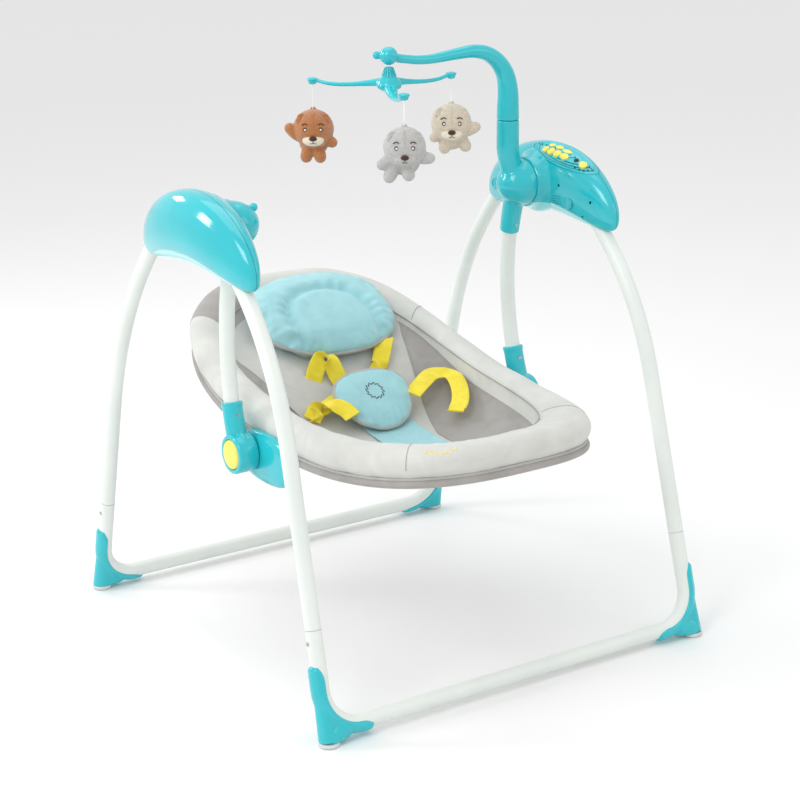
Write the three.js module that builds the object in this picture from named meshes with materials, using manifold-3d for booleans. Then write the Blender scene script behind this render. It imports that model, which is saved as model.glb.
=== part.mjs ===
// Baby swing: two folding tube frames under a pair of side housings, a hanging seat that swings
// and reclines, and a toy mobile on an arm above it. Millimetres, +Z up, the seat faces -Y,
// and the origin is on the floor midway between the four feet.
import * as THREE from "three";
import { mergeVertices } from "three/addons/utils/BufferGeometryUtils.js";
import Module from "manifold-3d";

const wasm = await Module();
wasm.setup();

// ---- Driving dimensions ----
const gap = 0.3; // between pieces that touch
const runningGap = 0.2; // between a shaft and its bore

const tube = { radius: 11, wall: 1.2, sides: 10 };
const floorSpan = 620; // between the foot centres, left to right
const housingSpan = 594; // between the mid planes of the two housings
const foldHeight = 599; // of the leg fold axes
const joinHeight = 148; // where an upper leg plugs into its base tube
const plug = { depth: 38, play: 0.8, wall: 1.2 };
const radians = THREE.MathUtils.degToRad;
const frontLeg = { side: -1, bendReach: 233.18, splay: 14.3, bendStart: foldHeight - 227, bendRadius: 407 };
const rearLeg = { side: 1, bendReach: 270.42, splay: 11.7, bendStart: foldHeight - 292, bendRadius: 551 };
for (const leg of [frontLeg, rearLeg]) {
  leg.reach = leg.bendReach + leg.bendStart * Math.tan(radians(leg.splay)); // at the floor
}
const base = { height: 18.5, bendRadius: 52 };
const foot = { rise: 58, run: 42, wall: 4, tipRadius: 12.5, padRadius: 14.5, padHeight: 6 };

const housing = {
  halfWidth: 34,
  halfLength: 152,
  halfHeight: 50,
  centreY: -5,
  crown: foldHeight + 77,
  arch: 42,
  taper: 0.32,
  square: 2.4, // 2 is an ellipsoid, more is squarer
};
const shellWall = 2.6;
const legSlot = { clearance: 0.8, inner: 60 };
const foldPin = { radius: 4, headRadius: 8, headHeight: 3, bossRadius: 9.5, tail: 12 };
const collar = { radius: 37, rootRadius: 41, face: 247.6 };

const swingAxisHeight = foldHeight + 22;
const axle = { radius: 5, capRadius: 9, capWidth: 3, inHub: 26, inHousing: 22 };
const hub = { radius: 34, depth: 42, face: 247 };
const hanger = { topX: 237, bottomX: 245, bow: 31, socketRadius: 14.6, topSocket: 76, bottomSocket: 67 };
const hangerSink = 36; // length of hanger tube inside each socket
const reclineAxis = { y: -2, z: swingAxisHeight - 323 };
const rocker = { inset: 1, length: 24, width: 12, thickness: 6, bossRadius: 10 };
const magnet = { radius: 6.5, proud: 3 };
const coil = { radius: 8, coreRadius: 2.7, height: 7, below: 12 };
const speaker = {
  y: -44,
  z: foldHeight + 9,
  radius: 13,
  coneDepth: 4,
  magnetRadius: 8,
  magnetDepth: 6,
  standOff: 2,
};

// The oval controls panel lies in the crown of the right housing, leaning to the seat.
const panel = { inset: 11, y: -34, below: 12, lean: -24, pitch: 16 };
const panelSize = { halfLength: 68, halfWidth: 21, proud: 1.2 };
const leafButtons = [
  { along: 19, across: -7.5, halfLength: 5, halfWidth: 4.5, turn: 0.5 },
  { along: 7, across: -8, halfLength: 6, halfWidth: 5, turn: 0.4 },
  { along: -7, across: -8, halfLength: 6.5, halfWidth: 5, turn: 0.3 },
  { along: -22, across: -7.5, halfLength: 7.5, halfWidth: 4.5, turn: 0.1 },
];
const powerButton = { along: -57, across: -3, halfLength: 6, halfWidth: 6, turn: 0 };
const buttonProud = 1.6; // above the panel
const board = { width: 24, length: 84, thickness: 1.6, outward: 7, rearward: 6, below: 22 };
const battery = {
  y: 50,
  z: foldHeight + 25,
  length: 54,
  height: 30,
  depth: 17,
  inset: 3,
  doorEdge: 1,
  doorInset: 12,
};

const knuckle = { radius: 28, inner: 229, outer: 260 };
const reclineButton = { radius: 21, proud: 3, height: 7, travel: 3, shaftRadius: 6, reach: 15 };
const bracket = { inner: 206, radius: 42, front: 88, rear: 28, top: reclineAxis.z + 18, bellyHeight: 38 };
const nose = { height: 24, reach: 12 }; // the blunt front end of the bracket
const peg = { rootX: 229, tipX: 209, rise: 19, stemRadius: 3.4, beadRadius: 5.4, knobRadius: 6 };

const seat = {
  halfWidth: 188,
  halfLength: 314,
  centreY: -10,
  height: reclineAxis.z + 33,
  tilt: 7.2,
  lift: 50,
  headLift: 9,
  headFill: 0.97, // how far the bowl is filled up by the backrest at the head
  fillStart: 0.04, // of the way from the middle of the seat to its head
  fillEnd: 0.62,
  square: 2.9,
  taper: 0.1,
  depth: 58,
  thickness: 14,
};
const rim = { reach: 27, height: 25 };
const ring = { radius: 5, drop: 24, inset: 2 };
const pillow = { x: 18, fromHead: 99.5, halfWidth: 120, halfLength: 90, thickness: 34, tip: 4.5, lift: 8 };
const crotchPad = { x: 15, fromHead: 259, halfWidth: 57, halfLength: 50, thickness: 18, tip: 15, lift: 18 };
const strap = { width: 26, thickness: 3, clearance: 6, lift: 12 };

const toyArm = {
  stubX: 219,
  stubTop: swingAxisHeight + 95,
  stubRadius: 16.5,
  plugRadius: 12,
  plugDepth: 28,
  bendStart: swingAxisHeight + 136,
  bendRadius: 63,
  tipRadius: 6.5,
  sag: 5,
};
const mobile = {
  x: 13.5,
  ballZ: swingAxisHeight + 206,
  ballRadius: 15,
  knobRadius: 6,
  hangZ: swingAxisHeight + 165,
  coneRadius: 19,
  neckRadius: 6,
  reach: 122,
  stringReach: 115,
  padRadius: 9,
  padHeight: 4.5,
  turn: 6.5,
};
const string = { radius: 0.8, length: 32 };
const bear = { headRadius: 30, limbRows: 4, limbColumns: 7 };

const colours = {
  teal: 0x23c3cc,
  white: 0xe9ece8,
  yellow: 0xf0dc5a,
  steel: 0xb9bdc0,
  paleGrey: 0xd9d8d4,
  blue: 0x9fd3e2,
};

// ---- Shape helpers ----
function finish(colour, roughness, metalness = 0) {
  return new THREE.MeshStandardMaterial({ color: colour, roughness, metalness });
}

function solidOf(geometry) {
  const bare = geometry.clone();
  bare.deleteAttribute("normal");
  bare.deleteAttribute("uv");
  const merged = mergeVertices(bare, 1e-4);
  const mesh = new wasm.Mesh({
    numProp: 3,
    vertProperties: merged.attributes.position.array,
    triVerts: new Uint32Array(merged.index.array),
  });
  return new wasm.Manifold(mesh);
}

function geometryOf(solid) {
  const mesh = solid.getMesh();
  const geometry = new THREE.BufferGeometry();
  geometry.setAttribute("position", new THREE.BufferAttribute(mesh.vertProperties, 3));
  geometry.setIndex(new THREE.BufferAttribute(mesh.triVerts, 1));
  return geometry;
}

function joined(first, ...others) {
  return others.reduce((sum, other) => sum.add(other), first);
}

function cut(first, ...others) {
  return others.reduce((rest, other) => rest.subtract(other), first);
}

// The same geometry on the other side of the YZ plane.
function mirrored(geometry) {
  const copy = geometry.clone().scale(-1, 1, 1);
  const index = copy.index ? copy.index.array : null;
  if (!index) return mirroredLoose(copy);
  for (let i = 0; i < index.length; i += 3) {
    const kept = index[i + 1];
    index[i + 1] = index[i + 2];
    index[i + 2] = kept;
  }
  return copy;
}

function mirroredLoose(copy) {
  const merged = mergeVertices(copy, 1e-4);
  for (let i = 0; i < merged.index.array.length; i += 3) {
    const kept = merged.index.array[i + 1];
    merged.index.array[i + 1] = merged.index.array[i + 2];
    merged.index.array[i + 2] = kept;
  }
  return merged;
}

// The radius of a faceted bore whose flats still clear a shaft of the given radius.
function boreFor(radius, sides = tube.sides) {
  return radius / Math.cos(Math.PI / sides);
}

// A round bar or cone from point a to point b.
function bar(a, b, radiusA, radiusB = radiusA, sides = 12) {
  const along = new THREE.Vector3().subVectors(b, a);
  const geometry = new THREE.CylinderGeometry(radiusB, radiusA, along.length(), sides);
  const turn = new THREE.Quaternion();
  turn.setFromUnitVectors(new THREE.Vector3(0, 1, 0), along.clone().normalize());
  geometry.applyQuaternion(turn);
  const middle = a.clone().add(b).multiplyScalar(0.5);
  return geometry.translate(middle.x, middle.y, middle.z);
}

const at = (x, y, z) => new THREE.Vector3(x, y, z);

function barX(x0, x1, y, z, radius, radiusB = radius, sides = 12) {
  return bar(at(x0, y, z), at(x1, y, z), radius, radiusB, sides);
}

function block(x0, x1, y0, y1, z0, z1) {
  const geometry = new THREE.BoxGeometry(x1 - x0, y1 - y0, z1 - z0);
  return geometry.translate((x0 + x1) / 2, (y0 + y1) / 2, (z0 + z1) / 2);
}

// A path through chosen stations, so straight runs take no spare rings.
class StationPath extends THREE.Curve {
  constructor(stations) {
    super();
    this.stations = stations;
  }
  getPoint(t) {
    const last = this.stations.length - 1;
    const place = Math.min(last, Math.max(0, t * last));
    const low = Math.min(last - 1, Math.floor(place + 1e-9));
    return this.stations[low].clone().lerp(this.stations[low + 1], place - low);
  }
  getPointAt(u) {
    return this.getPoint(u);
  }
  getTangentAt(u) {
    const last = this.stations.length - 1;
    const here = Math.round(u * last);
    const back = this.stations[Math.max(0, here - 1)];
    const middle = this.stations[here];
    const ahead = this.stations[Math.min(last, here + 1)];
    const arriving = here > 0 ? middle.clone().sub(back).normalize() : at(0, 0, 0);
    const leaving = here < last ? ahead.clone().sub(middle).normalize() : at(0, 0, 0);
    return arriving.add(leaving).normalize();
  }
}

function extrudedAlong(section, stations) {
  const extrudePath = new StationPath(stations);
  return new THREE.ExtrudeGeometry(section, { steps: stations.length - 1, bevelEnabled: false, extrudePath });
}

function roundOutline(radius, sides) {
  const points = [];
  for (let i = 0; i < sides; i += 1) {
    const angle = (2 * Math.PI * i) / sides;
    points.push(new THREE.Vector2(radius * Math.cos(angle), radius * Math.sin(angle)));
  }
  return points;
}

// A pipe along stations, or a solid rod where the bore is 0. Radius and bore are numbers, or lists
// with one value for each station.
function sweep(stations, radius, bore = 0, sides = tube.sides) {
  const boreShare = 0.5;
  const section = new THREE.Shape(roundOutline(1, sides));
  if (bore !== 0) section.holes.push(new THREE.Path(roundOutline(boreShare, sides)));
  const geometry = extrudedAlong(section, stations);
  const position = geometry.attributes.position;
  const valueAt = (value, n) => (Array.isArray(value) ? value[n] : value);
  const point = new THREE.Vector3();
  for (let i = 0; i < position.count; i += 1) {
    point.fromBufferAttribute(position, i);
    const n = nearestStation(stations, point);
    const offset = point.clone().sub(stations[n]);
    const inside = bore !== 0 && offset.length() < (1 + boreShare) / 2;
    offset.setLength(inside ? valueAt(bore, n) : valueAt(radius, n)).add(stations[n]);
    position.setXYZ(i, offset.x, offset.y, offset.z);
  }
  return geometry;
}

function nearestStation(stations, point) {
  let nearest = 0;
  stations.forEach((station, n) => {
    if (station.distanceTo(point) < stations[nearest].distanceTo(point)) nearest = n;
  });
  return nearest;
}

// Stations of the arc that rounds the corner between two straight runs.
function cornerArc(before, corner, after, radius, steps) {
  const u = before.clone().sub(corner).normalize();
  const v = after.clone().sub(corner).normalize();
  const half = u.angleTo(v) / 2;
  const setBack = radius / Math.tan(half);
  const centre = corner.clone().add(u.clone().add(v).normalize().multiplyScalar(radius / Math.sin(half)));
  const start = corner.clone().addScaledVector(u, setBack).sub(centre);
  const end = corner.clone().addScaledVector(v, setBack).sub(centre);
  const axis = start.clone().cross(end).normalize();
  const sweepAngle = Math.PI - 2 * half;
  const arc = [];
  for (let i = 0; i <= steps; i += 1) {
    arc.push(start.clone().applyAxisAngle(axis, (sweepAngle * i) / steps).add(centre));
  }
  return arc;
}

// A ball of rows and columns whose every vertex is placed by a formula.
function formedBall(columns, rows, place) {
  const geometry = new THREE.SphereGeometry(1, columns, rows);
  const uv = geometry.attributes.uv;
  const position = geometry.attributes.position;
  for (let i = 0; i < position.count; i += 1) {
    const row = Math.round((1 - uv.getY(i)) * rows);
    const column = Math.round(((i % (columns + 1)) / columns) * columns) % columns;
    const point = place((2 * Math.PI * column) / columns, row);
    position.setXYZ(i, point.x, point.y, point.z);
  }
  return geometry;
}

// A plump closed body on a point, with rounded corners where the exponent is over 2.
function plump(centre, halfX, halfY, halfZ, exponent, columns, rows) {
  const geometry = new THREE.SphereGeometry(1, columns, rows);
  const position = geometry.attributes.position;
  const point = new THREE.Vector3();
  for (let i = 0; i < position.count; i += 1) {
    point.fromBufferAttribute(position, i);
    const sum = Math.abs(point.x) ** exponent + Math.abs(point.y) ** exponent + Math.abs(point.z) ** exponent;
    const k = sum ** (-1 / exponent);
    point.multiply(at(halfX, halfY, halfZ)).multiplyScalar(k).add(centre);
    position.setXYZ(i, point.x, point.y, point.z);
  }
  return geometry;
}

// ---- Leg frames ----
// Where a leg's centre line is, by the height and by the turn of its bend.
function legShape(leg) {
  const splay = radians(leg.splay);
  const centreReach = leg.bendReach - leg.bendRadius * Math.cos(splay);
  const centreZ = leg.bendStart - leg.bendRadius * Math.sin(splay);
  const foldTurn = Math.asin((foldHeight - centreZ) / leg.bendRadius);
  return { splay, centreReach, centreZ, foldTurn };
}

const legLean = (floorSpan - housingSpan) / 2 / foldHeight; // sideways, for each mm of height

function legX(z) {
  return floorSpan / 2 - legLean * z;
}

function straightLegPoint(leg, hand, z) {
  const reach = leg.reach - z * Math.tan(radians(leg.splay));
  return at(hand * legX(z), leg.side * reach, z);
}

function bentLegPoint(leg, hand, turn) {
  const shape = legShape(leg);
  const z = shape.centreZ + leg.bendRadius * Math.sin(turn);
  const reach = shape.centreReach + leg.bendRadius * Math.cos(turn);
  return at(hand * legX(z), leg.side * reach, z);
}

function foldAxisY(leg) {
  return bentLegPoint(leg, 1, legShape(leg).foldTurn).y;
}

// The bent leg from its seat on the base tube to just past the fold axis.
function upperLegStations(leg, hand) {
  const shape = legShape(leg);
  const stations = [straightLegPoint(leg, hand, joinHeight + gap)];
  const endTurn = shape.foldTurn + foldPin.tail / leg.bendRadius;
  const steps = 6;
  for (let i = 0; i <= steps; i += 1) {
    stations.push(bentLegPoint(leg, hand, shape.splay + ((endTurn - shape.splay) * i) / steps));
  }
  return stations;
}

// The leg's foot is necked down to a plug that enters the base tube.
function upperLeg(leg, hand) {
  const bore = tube.radius - tube.wall;
  const plugRadius = bore * Math.cos(Math.PI / tube.sides) - plug.play;
  const plugFoot = straightLegPoint(leg, hand, joinHeight - plug.depth);
  const plugTop = straightLegPoint(leg, hand, joinHeight - gap);
  const legStations = upperLegStations(leg, hand);
  const radii = [plugRadius, plugRadius, ...legStations.map(() => tube.radius)];
  const bores = radii.map((radius) => (radius < tube.radius ? radius - plug.wall : bore));
  bores[2] = plugRadius - plug.wall;
  const pipe = solidOf(sweep([plugFoot, plugTop, ...legStations], radii, bores));
  const pinX = hand * housingSpan / 2;
  const reach = 2 * tube.radius;
  const boltSides = 8;
  const boltRadius = boreFor(foldPin.radius + runningGap, boltSides);
  const y = foldAxisY(leg);
  const bolt = barX(pinX - reach, pinX + reach, y, foldHeight, boltRadius, boltRadius, boltSides);
  return geometryOf(pipe.subtract(solidOf(bolt)));
}

function baseStations(leg) {
  const corner = (hand) => straightLegPoint(leg, hand, base.height);
  const top = (hand) => straightLegPoint(leg, hand, joinHeight);
  const left = cornerArc(top(-1), corner(-1), corner(1), base.bendRadius, 4);
  const right = cornerArc(corner(-1), corner(1), top(1), base.bendRadius, 4);
  return [top(-1), ...left, ...right, top(1)];
}

function baseTube(leg) {
  return sweep(baseStations(leg), tube.radius, tube.radius - tube.wall);
}

// The cover of a corner: an elbow over the bend with a short cone down to the pad.
function footCover(leg, hand) {
  const corner = straightLegPoint(leg, hand, base.height);
  const up = straightLegPoint(leg, hand, joinHeight);
  const across = at(0, corner.y, corner.z);
  const bend = cornerArc(up, corner, across, base.bendRadius, 4);
  const upward = up.clone().sub(corner).normalize();
  const rise = bend[0].clone().addScaledVector(upward, foot.rise - base.bendRadius / 2);
  const run = bend[bend.length - 1].clone().add(at(-hand * (foot.run - base.bendRadius / 2), 0, 0));
  const stations = [rise, ...bend, run];
  const tip = at(hand * floorSpan / 2, leg.side * leg.reach, foot.padHeight + gap);
  const inset = at(hand * (floorSpan / 2 - foot.tipRadius), leg.side * leg.reach, base.height + tube.radius);
  const elbow = solidOf(sweep(stations, tube.radius + foot.wall));
  const cone = solidOf(bar(tip, inset, foot.tipRadius, tube.radius + foot.wall, 16));
  const over = gap + foot.wall;
  const longer = [
    rise.clone().addScaledVector(upward, over),
    ...bend,
    run.clone().add(at(-hand * over, 0, 0)),
  ];
  const bore = solidOf(sweep(longer, boreFor(tube.radius + gap)));
  const wide = 2 * leg.reach;
  const below = solidOf(block(-wide, wide, -wide, wide, -foot.tipRadius, foot.padHeight + gap));
  return geometryOf(cut(joined(elbow, cone), bore, below));
}

function footPad(leg, hand) {
  const under = at(hand * floorSpan / 2, leg.side * leg.reach, 0);
  const top = at(hand * floorSpan / 2, leg.side * leg.reach, foot.padHeight);
  return bar(under, top, foot.padRadius, foot.padRadius, 16);
}

// ---- Housings ----
const housingX = housingSpan / 2;
const housingZ = housing.crown - housing.halfHeight;

function archDrop(y) {
  return housing.arch * (y / housing.halfLength) ** 2;
}

// The housing is narrower towards its two ends.
function narrowing(y) {
  return 1 - housing.taper * (y / housing.halfLength) ** 2;
}

// The right housing's outside, grown by an offset.
function housingForm(offset) {
  const halfX = housing.halfWidth + offset;
  const halfY = housing.halfLength + offset;
  const halfZ = housing.halfHeight + offset;
  const geometry = plump(at(0, 0, 0), halfX, halfY, halfZ, housing.square, 16, 10);
  const position = geometry.attributes.position;
  for (let i = 0; i < position.count; i += 1) {
    const y = position.getY(i);
    const x = position.getX(i) * narrowing(y) + housingX;
    position.setXYZ(i, x, y + housing.centreY, position.getZ(i) + housingZ - archDrop(y));
  }
  return solidOf(geometry);
}

function housingHalfWidthAt(y, z) {
  const along = Math.abs(y - housing.centreY) / housing.halfLength;
  const rise = Math.abs(z - housingZ + archDrop(y - housing.centreY)) / housing.halfHeight;
  const rest = Math.max(0, 1 - along ** housing.square - rise ** housing.square);
  return housing.halfWidth * narrowing(y - housing.centreY) * rest ** (1 / housing.square);
}

function legSlotCut(leg) {
  const edge = leg.side * legSlot.inner;
  const far = leg.side * 2 * housing.halfLength;
  const y = [edge, far].sort((a, b) => a - b);
  const bottom = housingZ - 2 * housing.halfHeight;
  const top = foldHeight - tube.radius;
  const drop = foldHeight - housingZ + housing.halfHeight;
  const halfWidth = tube.radius + legSlot.clearance + Math.abs(legLean) * drop;
  return solidOf(block(housingX - halfWidth, housingX + halfWidth, y[0], y[1], bottom, top));
}

// One half of the right housing: the inner half has the hub collar, the outer half is plain.
function housingShell(hand) {
  const form = housingForm(0);
  const hollow = housingForm(-shellWall);
  const far = 2 * housing.halfLength;
  const split = housingX + hand * gap / 2;
  const spanX = hand > 0 ? [split, housingX + far] : [housingX - far, split];
  const half = solidOf(block(spanX[0], spanX[1], -far, far, housingZ - far, housingZ + far));
  let shell = cut(form, hollow).intersect(half);
  for (const leg of [frontLeg, rearLeg]) {
    const y = foldAxisY(leg);
    const inner = housingX + hand * (tube.radius + gap + Math.abs(legLean) * foldPin.tail);
    const boss = solidOf(barX(inner, housingX + hand * far, y, foldHeight, foldPin.bossRadius));
    shell = shell.add(boss.intersect(form));
  }
  shell = cut(shell, legSlotCut(frontLeg), legSlotCut(rearLeg));
  for (const leg of [frontLeg, rearLeg]) {
    const y = foldAxisY(leg);
    const wide = housingHalfWidthAt(y, foldHeight);
    const pinEnd = hand > 0 ? housingX + wide - shellWall : housingX - far;
    shell = shell.subtract(solidOf(barX(housingX, pinEnd, y, foldHeight, foldPin.radius + runningGap)));
    if (hand < 0) {
      const headFace = housingX - wide + gap;
      const clearX = headFace - 3 * foldPin.headHeight;
      shell = shell.subtract(solidOf(barX(clearX, headFace, y, foldHeight, foldPin.headRadius + gap)));
    }
  }
  return shell;
}

function innerHousing() {
  const root = housingX - housing.halfWidth + 2 * shellWall;
  const ringBody = solidOf(barX(collar.face, root, 0, swingAxisHeight, collar.radius, collar.rootRadius, 20));
  const hollow = housingForm(-shellWall);
  const bearing = solidOf(barX(collar.face, housingX - gap / 2, 0, swingAxisHeight, 2.2 * axle.radius));
  const bore = solidOf(barX(collar.face - 1, housingX + 1, 0, swingAxisHeight, axle.radius + runningGap));
  const withCollar = joined(housingShell(-1), ringBody.subtract(hollow), bearing);
  return withCollar.subtract(bore);
}

const panelCentre = at(housingX - panel.inset, panel.y, housing.crown - panel.below);

// An oval bar square to the panel, long enough to pass right through the housing's skin.
function ovalPlug(centre, halfLength, halfWidth, sides, turn = 0) {
  const geometry = new THREE.CylinderGeometry(1, 1, housing.halfWidth, sides);
  geometry.rotateX(Math.PI / 2);
  geometry.scale(halfWidth, halfLength, 1);
  geometry.rotateZ(turn);
  geometry.rotateX(radians(panel.pitch));
  geometry.rotateY(radians(panel.lean));
  return geometry.translate(centre.x, centre.y, centre.z);
}

// A point of the panel's own plane: along its length, then across it.
function onPanel(along, across) {
  const point = at(across, along, 0);
  point.applyAxisAngle(at(1, 0, 0), radians(panel.pitch));
  point.applyAxisAngle(at(0, 1, 0), radians(panel.lean));
  return point.add(panelCentre);
}

function buttonPlug(button, clearance) {
  const centre = onPanel(button.along, button.across);
  const { halfLength, halfWidth, turn } = button;
  return solidOf(ovalPlug(centre, halfLength + clearance, halfWidth + clearance, 12, turn));
}

function panelOpening(clearance) {
  const { halfLength, halfWidth } = panelSize;
  return solidOf(ovalPlug(panelCentre, halfLength + clearance, halfWidth + clearance, 20));
}

function controlPanel() {
  const skin = cut(housingForm(panelSize.proud), housingForm(-shellWall)).intersect(panelOpening(0));
  const holes = [...leafButtons, powerButton].map((button) => buttonPlug(button, gap));
  return geometryOf(cut(skin, ...holes));
}

function controlButton(button) {
  const skin = cut(housingForm(panelSize.proud + buttonProud), housingForm(-shellWall));
  return geometryOf(skin.intersect(buttonPlug(button, 0)));
}

function batteryBox(x0, x1, margin) {
  const { y, z, length, height } = battery;
  const halfLength = length / 2 + margin;
  const halfHeight = height / 2 + margin;
  return block(x0, x1, y - halfLength, y + halfLength, z - halfHeight, z + halfHeight);
}

function batteryDoorBlock(clearance) {
  const x0 = housingX + battery.doorInset;
  return solidOf(batteryBox(x0, housingX + 2 * housing.halfWidth, battery.doorEdge + clearance));
}

function batteryDoor() {
  return geometryOf(cut(housingForm(0), housingForm(-shellWall)).intersect(batteryDoorBlock(0)));
}

// ---- Swinging parts ----
// The hangers bow to the rear on one arc through the swing axis and the recline axis.
function hangerStations(fromZ, toZ, steps) {
  const chord = swingAxisHeight - reclineAxis.z;
  const radius = (chord ** 2 / 4 + hanger.bow ** 2) / (2 * hanger.bow);
  const middle = (swingAxisHeight + reclineAxis.z) / 2;
  const stations = [];
  for (let i = 0; i <= steps; i += 1) {
    const z = fromZ + ((toZ - fromZ) * i) / steps;
    const share = (z - reclineAxis.z) / chord;
    const y = hanger.bow - radius + Math.sqrt(radius ** 2 - (z - middle) ** 2) + reclineAxis.y * (1 - share);
    stations.push(at(hanger.bottomX + (hanger.topX - hanger.bottomX) * share, y, z));
  }
  return stations;
}

const hangerTop = swingAxisHeight - hanger.topSocket + hangerSink;
const hangerFoot = reclineAxis.z + hanger.bottomSocket - hangerSink;

function hangerTube() {
  return sweep(hangerStations(hangerFoot, hangerTop, 7), tube.radius, tube.radius - tube.wall);
}

function hangerBore(fromZ, toZ) {
  return solidOf(sweep(hangerStations(fromZ, toZ, 3), boreFor(tube.radius + gap)));
}

function hubDome() {
  const ball = plump(at(hub.face, 0, swingAxisHeight), hub.depth, hub.radius, hub.radius, 2.15, 16, 10);
  const wide = 2 * hub.radius;
  const keep = block(hub.face - wide, hub.face, -wide, wide, swingAxisHeight - wide, swingAxisHeight + wide);
  return solidOf(ball).intersect(solidOf(keep));
}

function hubBody() {
  const socketFoot = swingAxisHeight - hanger.topSocket;
  const socketPath = hangerStations(socketFoot, swingAxisHeight - 8, 4);
  const socket = solidOf(sweep(socketPath, hanger.socketRadius, 0, 12));
  const bore = hangerBore(swingAxisHeight - hanger.topSocket - 1, hangerTop + gap);
  const axleEnd = hub.face - axle.inHub - gap;
  const axleBore = solidOf(barX(axleEnd, hub.face + 1, 0, swingAxisHeight, axle.radius + gap));
  const reach = collar.rootRadius + 2;
  const beyond = block(hub.face, housingX, -reach, reach, swingAxisHeight - reach, swingAxisHeight + reach);
  return cut(joined(hubDome(), socket), bore, axleBore, solidOf(beyond));
}

function rightHub() {
  const stubFoot = at(hub.face - 0.4 * hub.depth, 0, swingAxisHeight + 8);
  const stubBend = at(toyArm.stubX, 0, swingAxisHeight + 0.5 * (toyArm.stubTop - swingAxisHeight));
  const stubTop = at(toyArm.stubX, 0, toyArm.stubTop);
  const neck = cornerArc(stubFoot, stubBend, stubTop, 40, 3);
  const stub = solidOf(sweep([stubFoot, ...neck, stubTop], toyArm.stubRadius, 0, 12));
  const holeTop = at(toyArm.stubX, 0, toyArm.stubTop + 1);
  const holeFoot = at(toyArm.stubX, 0, toyArm.stubTop - toyArm.plugDepth - 1);
  const hole = solidOf(bar(holeFoot, holeTop, toyArm.plugRadius + gap));
  return geometryOf(hubBody().add(stub).subtract(hole));
}

// The left hub carries a waisted accessory peg instead of the arm stub.
function leftHub() {
  const z = swingAxisHeight + peg.rise;
  const beadX = (peg.rootX + peg.tipX) / 2;
  const stem = solidOf(barX(peg.tipX, peg.rootX, 0, z, peg.stemRadius));
  const bead = solidOf(plump(at(beadX, 0, z), peg.beadRadius / 2, peg.beadRadius, peg.beadRadius, 2, 10, 6));
  const end = peg.knobRadius;
  const knob = solidOf(plump(at(peg.tipX, 0, z), 0.75 * end, end, end, 2, 8, 6));
  return mirrored(geometryOf(joined(hubBody(), stem, bead, knob)));
}

function swingAxle() {
  const inner = hub.face - axle.inHub;
  const outer = housingX + axle.inHousing;
  const shaft = solidOf(barX(inner, outer, 0, swingAxisHeight, axle.radius));
  const cap = solidOf(barX(outer - 1, outer + axle.capWidth, 0, swingAxisHeight, axle.capRadius));
  return geometryOf(shaft.add(cap));
}

const rockerX = housingX + rocker.inset;

// A short arm on the right axle with a magnet on its end, which the coil below pulls.
function driveRocker() {
  const x0 = rockerX;
  const x1 = x0 + rocker.thickness;
  const halfWidth = rocker.width / 2;
  const magnetZ = swingAxisHeight - rocker.length;
  const boss = solidOf(barX(x0, x1, 0, swingAxisHeight, rocker.bossRadius));
  const arm = solidOf(block(x0, x1, -halfWidth, halfWidth, magnetZ, swingAxisHeight));
  const slug = solidOf(barX(x0 - magnet.proud, x1 + magnet.proud, 0, magnetZ, magnet.radius));
  const bore = solidOf(barX(x0 - 1, x1 + 1, 0, swingAxisHeight, axle.radius + gap));
  return geometryOf(joined(boss, arm, slug).subtract(bore));
}

function driveCoil() {
  const z = swingAxisHeight - rocker.length - coil.below;
  const x = rockerX + rocker.thickness / 2;
  const outer = solidOf(bar(at(x, 0, z - coil.height / 2), at(x, 0, z + coil.height / 2), coil.radius));
  const core = solidOf(bar(at(x, 0, z - coil.height), at(x, 0, z + coil.height), coil.coreRadius));
  return geometryOf(outer.subtract(core));
}

function speakerBody() {
  const { y, z, radius } = speaker;
  const x = housingX - housingHalfWidthAt(y - radius, z - radius) + shellWall + speaker.standOff;
  const cone = solidOf(barX(x, x + speaker.coneDepth, y, z, radius));
  const back = x + speaker.coneDepth + speaker.magnetDepth;
  return geometryOf(cone.add(solidOf(barX(x + 1, back, y, z, speaker.magnetRadius))));
}

// The board lies under the panel, tilted with it.
function controlBoard() {
  const plate = new THREE.BoxGeometry(board.width, board.length, board.thickness);
  plate.rotateX(radians(panel.pitch));
  plate.rotateY(radians(panel.lean));
  const middle = panelCentre;
  return plate.translate(middle.x + board.outward, middle.y + board.rearward, middle.z - board.below);
}

function batteryPack() {
  const x0 = housingX + battery.inset;
  return batteryBox(x0, x0 + battery.depth, 0);
}

function foldPinSolid(leg) {
  const y = foldAxisY(leg);
  const wide = housingHalfWidthAt(y, foldHeight);
  const face = housingX - wide;
  const head = solidOf(barX(face - foldPin.headHeight + 1, face, y, foldHeight, foldPin.headRadius));
  const shank = solidOf(barX(face - 1, housingX + wide - shellWall - gap, y, foldHeight, foldPin.radius));
  return geometryOf(head.add(shank));
}

// ---- Recline knuckles and brackets ----
function reclineBar(x0, x1, radius, sides = 12) {
  return solidOf(barX(x0, x1, reclineAxis.y, reclineAxis.z, radius, radius, sides));
}

function knuckleBody() {
  const disc = reclineBar(knuckle.inner, knuckle.outer, knuckle.radius, 20);
  const socketTop = reclineAxis.z + hanger.bottomSocket;
  const socket = solidOf(sweep(hangerStations(reclineAxis.z, socketTop, 4), hanger.socketRadius, 0, 12));
  const bore = hangerBore(hangerFoot - gap, socketTop + 1);
  const wellDepth = reclineButton.height - reclineButton.proud + reclineButton.travel + gap;
  const well = reclineBar(knuckle.outer - wellDepth, knuckle.outer + 1, reclineButton.radius + gap, 16);
  const shaft = reclineBar(knuckle.inner - 1, knuckle.outer + 1, reclineButton.shaftRadius + runningGap);
  return geometryOf(cut(joined(disc, socket), bore, well, shaft));
}

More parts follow.
